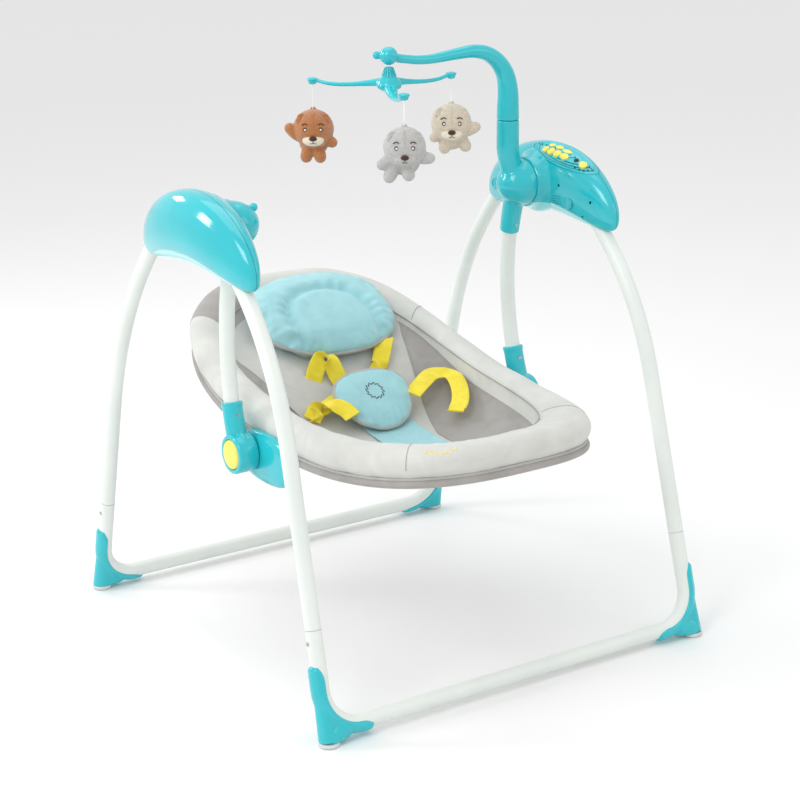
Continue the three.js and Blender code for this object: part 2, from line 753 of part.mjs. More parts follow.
function reclineButtonBody() {
  const face = knuckle.outer + reclineButton.proud;
  const back = face - reclineButton.height;
  const cap = reclineBar(back, face, reclineButton.radius, 16);
  const shaft = reclineBar(knuckle.inner - reclineButton.reach, back + 1, reclineButton.shaftRadius);
  return geometryOf(cap.add(shaft));
}

// The bracket hangs under the seat's rim, cut to its shape, with a blunt nose at the front.
function bracketBody() {
  const outline = new THREE.Shape();
  const { y, z } = reclineAxis;
  const noseTop = bracket.top - nose.height;
  outline.moveTo(y + bracket.rear, z);
  outline.absarc(y, z, bracket.radius, radians(10), radians(-100), true);
  outline.lineTo(-bracket.front, bracket.top - bracket.bellyHeight);
  outline.quadraticCurveTo(-bracket.front - nose.reach, noseTop, -bracket.front - 8, bracket.top);
  outline.lineTo(y + bracket.rear, bracket.top + nose.reach);
  const width = knuckle.inner - gap - bracket.inner;
  const plate = new THREE.ExtrudeGeometry(outline, { depth: width, bevelEnabled: false, curveSegments: 10 });
  plate.applyMatrix4(new THREE.Matrix4().makeBasis(at(0, 1, 0), at(0, 0, 1), at(1, 0, 0)));
  plate.translate(bracket.inner, 0, 0);
  const bore = reclineBar(bracket.inner - 1, knuckle.inner + 1, reclineButton.shaftRadius + runningGap);
  const channel = solidOf(ringTube(ring.radius + gap));
  return geometryOf(cut(solidOf(plate), bore, channel, solidOf(seatBody(gap))));
}

// ---- Seat ----
function signedPower(value, power) {
  return Math.sign(value) * Math.abs(value) ** power;
}

// The height of the rim's centre line, v being -1 at the foot of the seat and 1 at its head.
function rimHeight(v) {
  const rise = v * seat.halfLength * Math.sin(radians(seat.tilt));
  return seat.height + rise + seat.lift * v * v + seat.headLift * Math.max(0, v) ** 3;
}

// How far the bowl lies under the rim's centre line. The backrest fills it towards the head.
function bowlDepth(share, v) {
  const t = Math.min(1, Math.max(0, (v - seat.fillStart) / (seat.fillEnd - seat.fillStart)));
  const fill = seat.headFill * t * t * (3 - 2 * t);
  return seat.depth * (1 - share ** 3) * (1 - fill);
}

function bowlFloor(x, y) {
  const v = (y - seat.centreY) / Math.cos(radians(seat.tilt)) / seat.halfLength;
  const w = x / seat.halfWidth;
  const share = (Math.abs(v) ** seat.square + Math.abs(w) ** seat.square) ** (1 / seat.square);
  return rimHeight(v) - bowlDepth(share, v);
}

// A point of the seat's surface at a share of its rim outline, and the outward step in mm.
function seatPoint(angle, share, outward, rise) {
  const power = 2 / seat.square;
  const c = signedPower(Math.cos(angle), power);
  const s = signedPower(Math.sin(angle), power);
  const halfX = seat.halfWidth * (1 + seat.taper * Math.sin(angle)) * share + outward;
  const u = (seat.halfLength * share + outward) * s;
  const z = rimHeight(u / seat.halfLength) + rise;
  return at(halfX * c, seat.centreY + u * Math.cos(radians(seat.tilt)), z);
}

// The section runs from under the bowl, round the rim, to the middle of the bowl.
function seatSection(grow, angle) {
  const reach = signedPower(Math.sin(angle), 2 / seat.square);
  const bowl = (share) => -bowlDepth(share, share * reach);
  const under = -seat.thickness - grow;
  return [
    [0, 0, bowl(0) + under],
    [0.45, 0, bowl(0.45) + under],
    [0.72, 0, bowl(0.72) + under],
    [0.92, 0, bowl(0.92) + under],
    [1, 6 + grow, -rim.height + 2 - grow],
    [1, rim.reach - 4 + grow, -rim.height * 0.55 - grow],
    [1, rim.reach + grow, 0],
    [1, rim.reach - 8 + grow, rim.height * 0.75 + grow],
    [1, 0, rim.height + grow],
    [1, -rim.reach, rim.height * 0.6 + grow],
    [0.8, 0, bowl(0.8) + 4 + grow],
    [0.6, 0, bowl(0.6) + grow],
    [0.4, 0, bowl(0.4) + grow],
    [0.2, 0, bowl(0.2) + grow],
    [0, 0, bowl(0) + grow],
  ];
}

function seatBody(grow) {
  const last = seatSection(grow, 0).length - 1;
  return formedBall(24, last, (angle, row) => seatPoint(-angle, ...seatSection(grow, -angle)[row]));
}

function ringTube(radius) {
  const columns = 36;
  const sides = 6;
  const geometry = new THREE.TorusGeometry(10, 1, sides, columns);
  const position = geometry.attributes.position;
  for (let i = 0; i < position.count; i += 1) {
    const column = (i % (columns + 1)) % columns;
    const side = Math.floor(i / (columns + 1)) % sides;
    const angle = (2 * Math.PI * column) / columns;
    const turn = (2 * Math.PI * side) / sides;
    const out = rim.reach - ring.radius - ring.inset + radius * Math.cos(turn);
    const point = seatPoint(angle, 1, out, -ring.drop + radius * Math.sin(turn));
    position.setXYZ(i, point.x, point.y, point.z);
  }
  return geometry;
}

// A soft pad over the bowl, lifted clear of its floor and tipped up a little more than it.
function padInBowl(pad, y) {
  const reach = 0.6 * pad.halfLength;
  const climb = bowlFloor(pad.x, y + reach) - bowlFloor(pad.x, y - reach);
  const slope = Math.atan2(climb, 2 * reach) + radians(pad.tip);
  const body = plump(at(0, 0, 0), pad.halfWidth, pad.halfLength, pad.thickness / 2, 2.4, 16, 8);
  body.rotateX(slope);
  const halfHeight = pad.thickness / 2 / Math.cos(slope);
  return body.translate(pad.x, y, bowlFloor(pad.x, y) + pad.lift + halfHeight);
}

const headY = seat.centreY + seat.halfLength * Math.cos(radians(seat.tilt));
const crotchY = headY - crotchPad.fromHead;

// ---- Toy arm and mobile ----
function toyArmBody() {
  const foot = at(toyArm.stubX, 0, toyArm.stubTop + gap);
  const bendTop = toyArm.bendStart + toyArm.bendRadius;
  const centre = at(toyArm.stubX - toyArm.bendRadius, 0, toyArm.bendStart);
  const stations = [foot, at(toyArm.stubX, 0, toyArm.bendStart)];
  const steps = 6;
  for (let i = 1; i <= steps; i += 1) {
    const turn = (Math.PI / 2) * (i / steps);
    const spoke = at(Math.cos(turn), 0, Math.sin(turn));
    stations.push(centre.clone().addScaledVector(spoke, toyArm.bendRadius));
  }
  const runs = 5;
  for (let i = 1; i <= runs; i += 1) {
    const t = i / runs;
    const x = centre.x + (mobile.x - centre.x) * t;
    stations.push(at(x, 0, bendTop - toyArm.sag * Math.sin(Math.PI * t) + (mobile.ballZ - bendTop) * t ** 3));
  }
  const last = stations.length - 1;
  const fall = toyArm.stubRadius - toyArm.tipRadius;
  const radii = stations.map((_, n) => toyArm.stubRadius - fall * Math.min(1, (1.25 * n) / last));
  const arm = sweep(stations, radii, 0, 12);
  const round = mobile.ballRadius;
  const ball = solidOf(plump(at(mobile.x, 0, mobile.ballZ), round, round, round, 2, 10, 7));
  const plugFoot = at(toyArm.stubX, 0, toyArm.stubTop - toyArm.plugDepth);
  const spigot = solidOf(bar(plugFoot, at(toyArm.stubX, 0, toyArm.stubTop + 4), toyArm.plugRadius));
  const knobTip = at(mobile.x - 0.8 * round, -1.07 * round, mobile.ballZ - 3);
  const knob = solidOf(bar(at(mobile.x, 0, mobile.ballZ - 1), knobTip, mobile.knobRadius));
  return geometryOf(joined(solidOf(arm), ball, spigot, knob));
}

function armDirection(n) {
  const angle = radians(mobile.turn + 120 * n);
  return at(Math.cos(angle), Math.sin(angle), 0);
}

function mobileSpider() {
  const axis = (z) => at(mobile.x, 0, z);
  const neckTop = mobile.ballZ - mobile.ballRadius - gap;
  const cone = solidOf(bar(axis(mobile.hangZ - 6), axis(neckTop), mobile.coneRadius, mobile.neckRadius));
  const arms = [0, 1, 2].map((n) => {
    const direction = armDirection(n);
    const root = axis(mobile.hangZ).addScaledVector(direction, 6);
    const knee = axis(mobile.hangZ - 5).addScaledVector(direction, 0.55 * mobile.reach);
    const tip = axis(mobile.hangZ + 3).addScaledVector(direction, mobile.reach);
    const arm = solidOf(sweep([root, knee, tip], [9, 6, 4], 0, 8));
    const place = axis(mobile.hangZ).addScaledVector(direction, mobile.stringReach);
    const pad = plump(place, mobile.padRadius, mobile.padRadius, mobile.padHeight, 2, 8, 4);
    return arm.add(solidOf(pad));
  });
  return geometryOf(joined(cone, ...arms));
}

function stringTop(n) {
  const z = mobile.hangZ - mobile.padHeight - gap;
  return at(mobile.x, 0, z).addScaledVector(armDirection(n), mobile.stringReach);
}

function toyString(n) {
  const top = stringTop(n);
  const foot = top.clone().add(at(0, 0, -string.length));
  return bar(foot, top, string.radius, string.radius, 6);
}

// A ball head over a small body: two arms, two legs and a belly, all sized from the head.
function toyBear(n) {
  const size = bear.headRadius;
  const head = stringTop(n).add(at(0, 0, -string.length - gap - size));
  const limb = (x, y, z, halfX, halfY, halfZ) => {
    const centre = head.clone().addScaledVector(at(x, y, z), size);
    const body = plump(centre, halfX * size, halfY * size, halfZ * size, 2, bear.limbColumns, bear.limbRows);
    return solidOf(body);
  };
  const ball = solidOf(plump(head, size, 0.94 * size, size, 2, 12, 8));
  const arms = [-1, 1].map((hand) => limb(hand, -0.2, -0.4, 0.4, 0.3, 0.27));
  const legs = [-1, 1].map((hand) => limb(0.4 * hand, -0.4, -1, 0.3, 0.33, 0.47));
  const belly = limb(0, -0.87, -0.27, 0.43, 0.3, 0.33);
  return geometryOf(joined(ball, ...arms, ...legs, belly));
}

// ---- Harness ----
function flatStrap(points) {
  const halfWidth = strap.width / 2;
  const halfThick = strap.thickness / 2;
  const section = new THREE.Shape([
    new THREE.Vector2(-halfWidth, -halfThick),
    new THREE.Vector2(halfWidth, -halfThick),
    new THREE.Vector2(halfWidth, halfThick),
    new THREE.Vector2(-halfWidth, halfThick),
  ]);
  return extrudedAlong(section, points);
}

// A strap of one side: up out of the backrest, down past the crotch pad and out to the hip.
function harnessStrap(hand) {
  const edge = crotchPad.x + hand * (crotchPad.halfWidth + strap.width / 2 + strap.clearance);
  const over = (outward, rearward, rise) => {
    const x = edge + hand * outward;
    const y = crotchY + rearward;
    return at(x, y, bowlFloor(x, y) + strap.lift + rise);
  };
  return flatStrap([
    over(0, 70, 0),
    over(0, 58, 18),
    over(0, 22, 26),
    over(0, -18, 20),
    over(6, -50, 12),
    over(18, -68, 6),
    over(32, -74, 0),
  ]);
}

// ---- Assembly ----
const group = new THREE.Group();

function add(name, geometry, material) {
  const mesh = new THREE.Mesh(geometry, material);
  mesh.name = name;
  group.add(mesh);
}

function addPair(name, geometry, makeMaterial) {
  add(name + "_right", geometry, makeMaterial());
  add(name + "_left", mirrored(geometry), makeMaterial());
}

const gloss = (colour) => finish(colour, 0.25);
const paint = () => finish(colours.white, 0.35, 0.1);
const steel = () => finish(colours.steel, 0.35, 1);
const tealPlastic = () => gloss(colours.teal);

for (const [name, leg] of Object.entries({ front: frontLeg, rear: rearLeg })) {
  add(name + "_base_tube", baseTube(leg), paint());
  for (const [side, hand] of Object.entries({ left: -1, right: 1 })) {
    add(`${name}_leg_${side}`, upperLeg(leg, hand), paint());
    add(`${name}_foot_${side}`, footCover(leg, hand), tealPlastic());
    add(`${name}_pad_${side}`, footPad(leg, hand), finish(0xd8d8d6, 0.8));
  }
  addPair(name + "_fold_pin", foldPinSolid(leg), tealPlastic);
}

const innerShell = innerHousing();
const outerShell = housingShell(1);
add("housing_inner_left", mirrored(geometryOf(innerShell)), tealPlastic());
add("housing_outer_left", mirrored(geometryOf(outerShell)), tealPlastic());
add("housing_inner_right", geometryOf(innerShell.subtract(panelOpening(gap))), tealPlastic());
const doorOpening = batteryDoorBlock(gap);
add("housing_outer_right", geometryOf(cut(outerShell, panelOpening(gap), doorOpening)), tealPlastic());
add("battery_door", batteryDoor(), tealPlastic());
add("battery_pack", batteryPack(), finish(0x3a3f44, 0.5));
add("control_panel", controlPanel(), tealPlastic());
leafButtons.forEach((button, n) => add(`leaf_button_${n + 1}`, controlButton(button), gloss(colours.yellow)));
add("power_button", controlButton(powerButton), gloss(colours.yellow));
add("control_board", controlBoard(), finish(0x2c6b45, 0.5));
add("speaker", speakerBody(), finish(0x2b2b2b, 0.6));
add("drive_coil", driveCoil(), finish(0xb87333, 0.4, 0.8));

addPair("hanger", hangerTube(), paint);
add("hub_right", rightHub(), tealPlastic());
add("hub_left", leftHub(), tealPlastic());
addPair("swing_axle", swingAxle(), steel);
add("drive_rocker", driveRocker(), finish(0x888c90, 0.4, 0.6));
addPair("knuckle", knuckleBody(), tealPlastic);
addPair("recline_button", reclineButtonBody(), () => gloss(colours.yellow));
addPair("recline_bracket", bracketBody(), tealPlastic);

add("seat_ring", ringTube(ring.radius), steel());
add("seat_sling", seatBody(0), finish(colours.paleGrey, 0.9));
add("head_pillow", padInBowl(pillow, headY - pillow.fromHead), finish(colours.blue, 0.9));
add("crotch_pad", padInBowl(crotchPad, crotchY), finish(colours.blue, 0.9));
add("harness_left", harnessStrap(-1), finish(colours.yellow, 0.8));
add("harness_right", harnessStrap(1), finish(colours.yellow, 0.8));

add("toy_arm", toyArmBody(), tealPlastic());
add("mobile_spider", mobileSpider(), tealPlastic());
["beige", "brown", "grey"].forEach((name, n) => {
  const colour = { beige: 0xe6ddcd, brown: 0xb2673c, grey: 0xbcbcb8 }[name];
  add("string_" + name, toyString(n), finish(0xf2f0ea, 0.8));
  add("bear_" + name, toyBear(n), finish(colour, 0.95));
});

export default group;
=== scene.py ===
import math
import bmesh
import bpy
from mathutils import Matrix, Quaternion, Vector, noise
from mathutils.bvhtree import BVHTree


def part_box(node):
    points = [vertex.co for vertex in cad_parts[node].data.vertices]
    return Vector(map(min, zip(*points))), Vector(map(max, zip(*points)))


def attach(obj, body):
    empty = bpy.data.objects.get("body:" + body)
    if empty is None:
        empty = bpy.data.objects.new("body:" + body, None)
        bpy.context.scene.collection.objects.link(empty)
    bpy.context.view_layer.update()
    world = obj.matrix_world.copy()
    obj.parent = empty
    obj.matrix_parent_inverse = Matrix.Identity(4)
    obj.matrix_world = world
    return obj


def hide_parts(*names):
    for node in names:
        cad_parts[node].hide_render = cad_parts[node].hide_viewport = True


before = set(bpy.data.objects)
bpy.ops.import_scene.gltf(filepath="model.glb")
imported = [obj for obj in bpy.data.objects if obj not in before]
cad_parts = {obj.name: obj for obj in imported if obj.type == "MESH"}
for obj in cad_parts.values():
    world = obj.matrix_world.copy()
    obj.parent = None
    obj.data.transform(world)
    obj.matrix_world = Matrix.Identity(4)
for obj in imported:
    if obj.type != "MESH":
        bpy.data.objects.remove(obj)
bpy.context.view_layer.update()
scene = bpy.context.scene
scene.view_settings.view_transform = "Standard"
mm = 0.001
print("frame loaded")

# Camera, floor and lights
view = {
    "place": (-1.6082, -2.4617, 1.2404),
    "azimuth": -33.56,
    "elevation": 17.21,
    "roll": -0.74,
    "lens": 95.54,
}


def aimedMatrix(place, azimuth, elevation, roll):
    az, el, turn = math.radians(azimuth), math.radians(elevation), math.radians(roll)
    back = Vector((math.sin(az) * math.cos(el), -math.cos(az) * math.cos(el), math.sin(el)))
    right = Vector((0, 0, 1)).cross(back).normalized()
    up = back.cross(right)
    x = right * math.cos(turn) + up * math.sin(turn)
    y = up * math.cos(turn) - right * math.sin(turn)
    turned = Matrix((x, y, back)).transposed().to_4x4()
    return Matrix.Translation(place) @ turned


camera = bpy.data.objects.new("viewCamera", bpy.data.cameras.new("viewCamera"))
camera.data.lens = view["lens"]
camera.data.sensor_width = 36
camera.matrix_world = aimedMatrix(view["place"], view["azimuth"], view["elevation"], view["roll"])
scene.collection.objects.link(camera)
scene.camera = camera


def softLight(name, place, target, size, power, tint=(1, 1, 1)):
    light = bpy.data.lights.new(name, "AREA")
    light.shape = "RECTANGLE"
    light.size, light.size_y = size
    light.energy = power
    light.color = tint
    lamp = bpy.data.objects.new(name, light)
    aim = (Vector(target) - Vector(place)).to_track_quat("-Z", "Y")
    lamp.matrix_world = Matrix.Translation(place) @ aim.to_matrix().to_4x4()
    scene.collection.objects.link(lamp)


middle = (0, 0, 0.4)
softLight("keySoftbox", (-1.9, -0.9, 2.1), middle, (0.9, 1.3), 17)
softLight("fillSoftbox", (1.6, -2.2, 1.7), middle, (1.4, 1.4), 6)
softLight("topSoftbox", (0.2, 0.5, 2.7), middle, (2.0, 2.0), 13)
softLight("sideSoftbox", (-1.75, 1.05, 1.5), (-0.3, 0, 0.62), (0.42, 0.75), 11)
softLight("rearSoftbox", (-0.75, 1.95, 1.5), (-0.3, 0, 0.62), (0.5, 0.36), 6)
world = bpy.data.worlds.new("paleRoom")
world.use_nodes = True
world.node_tree.nodes["Background"].inputs["Color"].default_value = (1, 1, 1, 1)
world.node_tree.nodes["Background"].inputs["Strength"].default_value = 0.86
scene.world = world
print("camera and lights set")

# Finishes. Each group puts out what changes over a surface; the shader stays in the material.
def nodeGroup(name, inputs, outputs):
    group = bpy.data.node_groups.new(name, "ShaderNodeTree")
    for label, kind, value in inputs:
        socket = group.interface.new_socket(label, in_out="INPUT", socket_type=kind)
        socket.default_value = value
    for label, kind in outputs:
        group.interface.new_socket(label, in_out="OUTPUT", socket_type=kind)
    enter = group.nodes.new("NodeGroupInput")
    leave = group.nodes.new("NodeGroupOutput")
    return group, enter, leave


def addNode(tree, kind, **values):
    node = tree.nodes.new(kind)
    for key, value in values.items():
        setattr(node, key, value)
    return node


def rampNode(tree, low, high, first=0.0, second=1.0):
    ramp = addNode(tree, "ShaderNodeMapRange")
    ramp.inputs["From Min"].default_value = low
    ramp.inputs["From Max"].default_value = high
    ramp.inputs["To Min"].default_value = first
    ramp.inputs["To Max"].default_value = second
    return ramp


def speckleGroup():
    # Cloudy shade and a fine surface grain, for mouldings, paint and rubber
    group, enter, leave = nodeGroup(
        "cloudAndGrain",
        [
            ("Color", "NodeSocketColor", (1, 1, 1, 1)),
            ("Deep", "NodeSocketColor", (1, 1, 1, 1)),
            ("Cloud Scale", "NodeSocketFloat", 12.0),
            ("Grain Scale", "NodeSocketFloat", 900.0),
            ("Gloss Low", "NodeSocketFloat", 0.2),
            ("Gloss High", "NodeSocketFloat", 0.3),
        ],
        [("Color", "NodeSocketColor"), ("Roughness", "NodeSocketFloat"), ("Height", "NodeSocketFloat")],
    )
    links = group.links
    place = addNode(group, "ShaderNodeTexCoord")
    cloud = addNode(group, "ShaderNodeTexNoise")
    cloud.inputs["Detail"].default_value = 3
    links.new(place.outputs["Object"], cloud.inputs["Vector"])
    links.new(enter.outputs["Cloud Scale"], cloud.inputs["Scale"])
    grain = addNode(group, "ShaderNodeTexNoise")
    grain.inputs["Detail"].default_value = 2
    links.new(place.outputs["Object"], grain.inputs["Vector"])
    links.new(enter.outputs["Grain Scale"], grain.inputs["Scale"])
    mask = rampNode(group, 0.35, 0.65)
    links.new(cloud.outputs["Fac"], mask.inputs["Value"])
    mix = addNode(group, "ShaderNodeMix", data_type="RGBA")
    links.new(mask.outputs["Result"], mix.inputs["Factor"])
    links.new(enter.outputs["Color"], mix.inputs["A"])
    links.new(enter.outputs["Deep"], mix.inputs["B"])
    gloss = addNode(group, "ShaderNodeMapRange")
    links.new(grain.outputs["Fac"], gloss.inputs["Value"])
    links.new(enter.outputs["Gloss Low"], gloss.inputs["To Min"])
    links.new(enter.outputs["Gloss High"], gloss.inputs["To Max"])
    links.new(mix.outputs["Result"], leave.inputs["Color"])
    links.new(gloss.outputs["Result"], leave.inputs["Roughness"])
    links.new(grain.outputs["Fac"], leave.inputs["Height"])
    return group


def weaveGroup():
    # Fine crossed threads with slow folds under them; the Shade colour is painted shade in the hollows of the
    # folds
    group, enter, leave = nodeGroup(
        "clothWeave",
        [
            ("Color", "NodeSocketColor", (1, 1, 1, 1)),
            ("Shade", "NodeSocketColor", (1, 1, 1, 1)),
            ("Thread Scale", "NodeSocketFloat", 420.0),
            ("Fold Scale", "NodeSocketFloat", 26.0),
            ("Fold Share", "NodeSocketFloat", 0.7),
        ],
        [("Color", "NodeSocketColor"), ("Height", "NodeSocketFloat")],
    )
    links = group.links
    place = addNode(group, "ShaderNodeTexCoord")
    waves = []
    for direction in ("X", "Y"):
        wave = addNode(group, "ShaderNodeTexWave", bands_direction=direction)
        wave.inputs["Distortion"].default_value = 0.6
        links.new(place.outputs["Object"], wave.inputs["Vector"])
        links.new(enter.outputs["Thread Scale"], wave.inputs["Scale"])
        waves.append(wave)
    crossed = addNode(group, "ShaderNodeMath", operation="MAXIMUM")
    links.new(waves[0].outputs["Fac"], crossed.inputs[0])
    links.new(waves[1].outputs["Fac"], crossed.inputs[1])
    fold = addNode(group, "ShaderNodeTexNoise")
    fold.inputs["Detail"].default_value = 5
    fold.inputs["Distortion"].default_value = 0.8
    links.new(place.outputs["Object"], fold.inputs["Vector"])
    links.new(enter.outputs["Fold Scale"], fold.inputs["Scale"])
    folded = addNode(group, "ShaderNodeMath", operation="MULTIPLY")
    links.new(fold.outputs["Fac"], folded.inputs[0])
    links.new(enter.outputs["Fold Share"], folded.inputs[1])
    thread = addNode(group, "ShaderNodeMath", operation="MULTIPLY")
    thread.inputs[1].default_value = 0.06
    links.new(crossed.outputs["Value"], thread.inputs[0])
    height = addNode(group, "ShaderNodeMath", operation="ADD")
    links.new(folded.outputs["Value"], height.inputs[0])
    links.new(thread.outputs["Value"], height.inputs[1])
    # painted shade: where the folds sink, the colour turns to Shade
    mask = rampNode(group, 0.3, 0.7)
    links.new(fold.outputs["Fac"], mask.inputs["Value"])
    mix = addNode(group, "ShaderNodeMix", data_type="RGBA")
    links.new(mask.outputs["Result"], mix.inputs["Factor"])
    links.new(enter.outputs["Shade"], mix.inputs["A"])
    links.new(enter.outputs["Color"], mix.inputs["B"])
    links.new(mix.outputs["Result"], leave.inputs["Color"])
    links.new(height.outputs["Value"], leave.inputs["Height"])
    return group


def rimBandGroup():
    # The paler lip along the lower edge of each housing, which follows the arch of the housing
    group, enter, leave = nodeGroup(
        "lowerLip",
        [
            ("Color", "NodeSocketColor", (1, 1, 1, 1)),
            ("Lip", "NodeSocketColor", (1, 1, 1, 1)),
            ("Crown Height", "NodeSocketFloat", 0.626),
            ("Arch", "NodeSocketFloat", 1.818),
            ("Edge", "NodeSocketFloat", -0.0315),
            ("Centre Y", "NodeSocketFloat", -0.005),
        ],
        [("Color", "NodeSocketColor")],
    )
    links = group.links
    place = addNode(group, "ShaderNodeTexCoord")
    split = addNode(group, "ShaderNodeSeparateXYZ")
    links.new(place.outputs["Object"], split.inputs["Vector"])
    along = addNode(group, "ShaderNodeMath", operation="SUBTRACT")
    links.new(split.outputs["Y"], along.inputs[0])
    links.new(enter.outputs["Centre Y"], along.inputs[1])
    square = addNode(group, "ShaderNodeMath", operation="MULTIPLY")
    links.new(along.outputs["Value"], square.inputs[0])
    links.new(along.outputs["Value"], square.inputs[1])
    drop = addNode(group, "ShaderNodeMath", operation="MULTIPLY_ADD")
    links.new(square.outputs["Value"], drop.inputs[0])
    links.new(enter.outputs["Arch"], drop.inputs[1])
    links.new(split.outputs["Z"], drop.inputs[2])
    rise = addNode(group, "ShaderNodeMath", operation="SUBTRACT")
    links.new(drop.outputs["Value"], rise.inputs[0])
    links.new(enter.outputs["Crown Height"], rise.inputs[1])
    above = addNode(group, "ShaderNodeMath", operation="GREATER_THAN")
    links.new(rise.outputs["Value"], above.inputs[0])
    links.new(enter.outputs["Edge"], above.inputs[1])
    mix = addNode(group, "ShaderNodeMix", data_type="RGBA")
    links.new(above.outputs["Value"], mix.inputs["Factor"])
    links.new(enter.outputs["Lip"], mix.inputs["A"])
    links.new(enter.outputs["Color"], mix.inputs["B"])
    links.new(mix.outputs["Result"], leave.inputs["Color"])
    return group


def sidePanelGroup():
    # The darker side panels of the seat: their edges lean with the seat's length
    group, enter, leave = nodeGroup(
        "sidePanels",
        [
            ("Centre", "NodeSocketColor", (1, 1, 1, 1)),
            ("Side", "NodeSocketColor", (0, 0, 0, 1)),
            ("Middle X", "NodeSocketFloat", 0.0),
            ("Half Width", "NodeSocketFloat", 0.08),
            ("Lean", "NodeSocketFloat", 0.3),
            ("Least", "NodeSocketFloat", 0.07),
        ],
        [("Color", "NodeSocketColor")],
    )
    links = group.links
    place = addNode(group, "ShaderNodeTexCoord")
    split = addNode(group, "ShaderNodeSeparateXYZ")
    links.new(place.outputs["Object"], split.inputs["Vector"])
    across = addNode(group, "ShaderNodeMath", operation="SUBTRACT")
    links.new(split.outputs["X"], across.inputs[0])
    links.new(enter.outputs["Middle X"], across.inputs[1])
    away = addNode(group, "ShaderNodeMath", operation="ABSOLUTE")
    links.new(across.outputs["Value"], away.inputs[0])
    width = addNode(group, "ShaderNodeMath", operation="MULTIPLY_ADD")
    links.new(split.outputs["Y"], width.inputs[0])
    links.new(enter.outputs["Lean"], width.inputs[1])
    links.new(enter.outputs["Half Width"], width.inputs[2])
    held = addNode(group, "ShaderNodeMath", operation="MAXIMUM")
    links.new(width.outputs["Value"], held.inputs[0])
    links.new(enter.outputs["Least"], held.inputs[1])
    side = addNode(group, "ShaderNodeMath", operation="GREATER_THAN")
    links.new(away.outputs["Value"], side.inputs[0])
    links.new(held.outputs["Value"], side.inputs[1])
    mix = addNode(group, "ShaderNodeMix", data_type="RGBA")
    links.new(side.outputs["Value"], mix.inputs["Factor"])
    links.new(enter.outputs["Centre"], mix.inputs["A"])
    links.new(enter.outputs["Side"], mix.inputs["B"])
    links.new(mix.outputs["Result"], leave.inputs["Color"])
    return group


sidePanels = sidePanelGroup()
sidePanelEdge = {"middle": -0.004, "halfWidth": 0.084, "lean": 0.36, "least": 0.072}
speckle = speckleGroup()
weave = weaveGroup()
lowerLip = rimBandGroup()


def linear(hexColour):
    values = [int(hexColour[i:i + 2], 16) / 255 for i in (1, 3, 5)]
    return tuple(v / 12.92 if v <= 0.04045 else ((v + 0.055) / 1.055) ** 2.4 for v in values) + (1,)


def bareMaterial(name, metallic=0.0, coat=0.0, sheen=0.0):
    material = bpy.data.materials.new(name)
    material.use_nodes = True
    shader = material.node_tree.nodes["Principled BSDF"]
    shader.inputs["Metallic"].default_value = metallic
    shader.inputs["Coat Weight"].default_value = coat
    shader.inputs["Coat Roughness"].default_value = 0.05
    shader.inputs["Sheen Weight"].default_value = sheen
    return material, material.node_tree, shader


def bumped(tree, shader, height, distance, strength=1.0):
    bump = addNode(tree, "ShaderNodeBump")
    bump.inputs["Distance"].default_value = distance
    bump.inputs["Strength"].default_value = strength
    tree.links.new(height, bump.inputs["Height"])
    tree.links.new(bump.outputs["Normal"], shader.inputs["Normal"])


def hardMaterial(name, colour, deep, gloss, grain=900, depth=0.00002, metallic=0.0, coat=0.0, lip=None):
    material, tree, shader = bareMaterial(name, metallic, coat)
    cloud = addNode(tree, "ShaderNodeGroup", node_tree=speckle)
    cloud.inputs["Color"].default_value = linear(colour)
    cloud.inputs["Deep"].default_value = linear(deep)
    cloud.inputs["Grain Scale"].default_value = grain
    cloud.inputs["Gloss Low"].default_value = gloss
    cloud.inputs["Gloss High"].default_value = gloss + 0.08
    paint = cloud.outputs["Color"]
    if lip:
        band = addNode(tree, "ShaderNodeGroup", node_tree=lowerLip)
        band.inputs["Lip"].default_value = linear(lip)
        tree.links.new(paint, band.inputs["Color"])
        paint = band.outputs["Color"]
    tree.links.new(paint, shader.inputs["Base Color"])
    tree.links.new(cloud.outputs["Roughness"], shader.inputs["Roughness"])
    bumped(tree, shader, cloud.outputs["Height"], depth)
    return material


def clothMaterial(name, colour, shade, threads=420, folds=26, foldShare=0.7, depth=0.0012, sheen=0.2):
    material, tree, shader = bareMaterial(name, sheen=sheen)
    shader.inputs["Roughness"].default_value = 0.8
    cloth = addNode(tree, "ShaderNodeGroup", node_tree=weave)
    cloth.inputs["Color"].default_value = linear(colour)
    # shade is the painted shade colour for the hollows of the folds
    cloth.inputs["Shade"].default_value = linear(shade)
    cloth.inputs["Thread Scale"].default_value = threads
    cloth.inputs["Fold Scale"].default_value = folds
    cloth.inputs["Fold Share"].default_value = foldShare
    tree.links.new(cloth.outputs["Color"], shader.inputs["Base Color"])
    bumped(tree, shader, cloth.outputs["Height"], depth)
    return material


def plushMaterial(name, colour, shade, depth=0.0016):
    # Short fur: close, deep bumps and a strong sheen, with painted shade in the hollows between the bumps
    return clothMaterial(name, colour, shade, threads=1300, folds=420, foldShare=1.0, depth=depth, sheen=0.5)


def seatInsideMaterial():
    # The seat's inner cloth: a light centre between two darker sides
    material = clothMaterial("seatInside", "#c9c8c4", "#bebdb9")
    tree = material.node_tree
    shader = tree.nodes["Principled BSDF"]
    centre = shader.inputs["Base Color"].links[0].from_socket
    dark = addNode(tree, "ShaderNodeGroup", node_tree=weave)
    dark.inputs["Color"].default_value = linear("#a5a19d")
    dark.inputs["Shade"].default_value = linear("#979390")
    panels = addNode(tree, "ShaderNodeGroup", node_tree=sidePanels)
    panels.inputs["Middle X"].default_value = sidePanelEdge["middle"]
    panels.inputs["Half Width"].default_value = sidePanelEdge["halfWidth"]
    panels.inputs["Lean"].default_value = sidePanelEdge["lean"]
    panels.inputs["Least"].default_value = sidePanelEdge["least"]
    tree.links.new(centre, panels.inputs["Centre"])
    tree.links.new(dark.outputs["Color"], panels.inputs["Side"])
    tree.links.new(panels.outputs["Color"], shader.inputs["Base Color"])
    return material


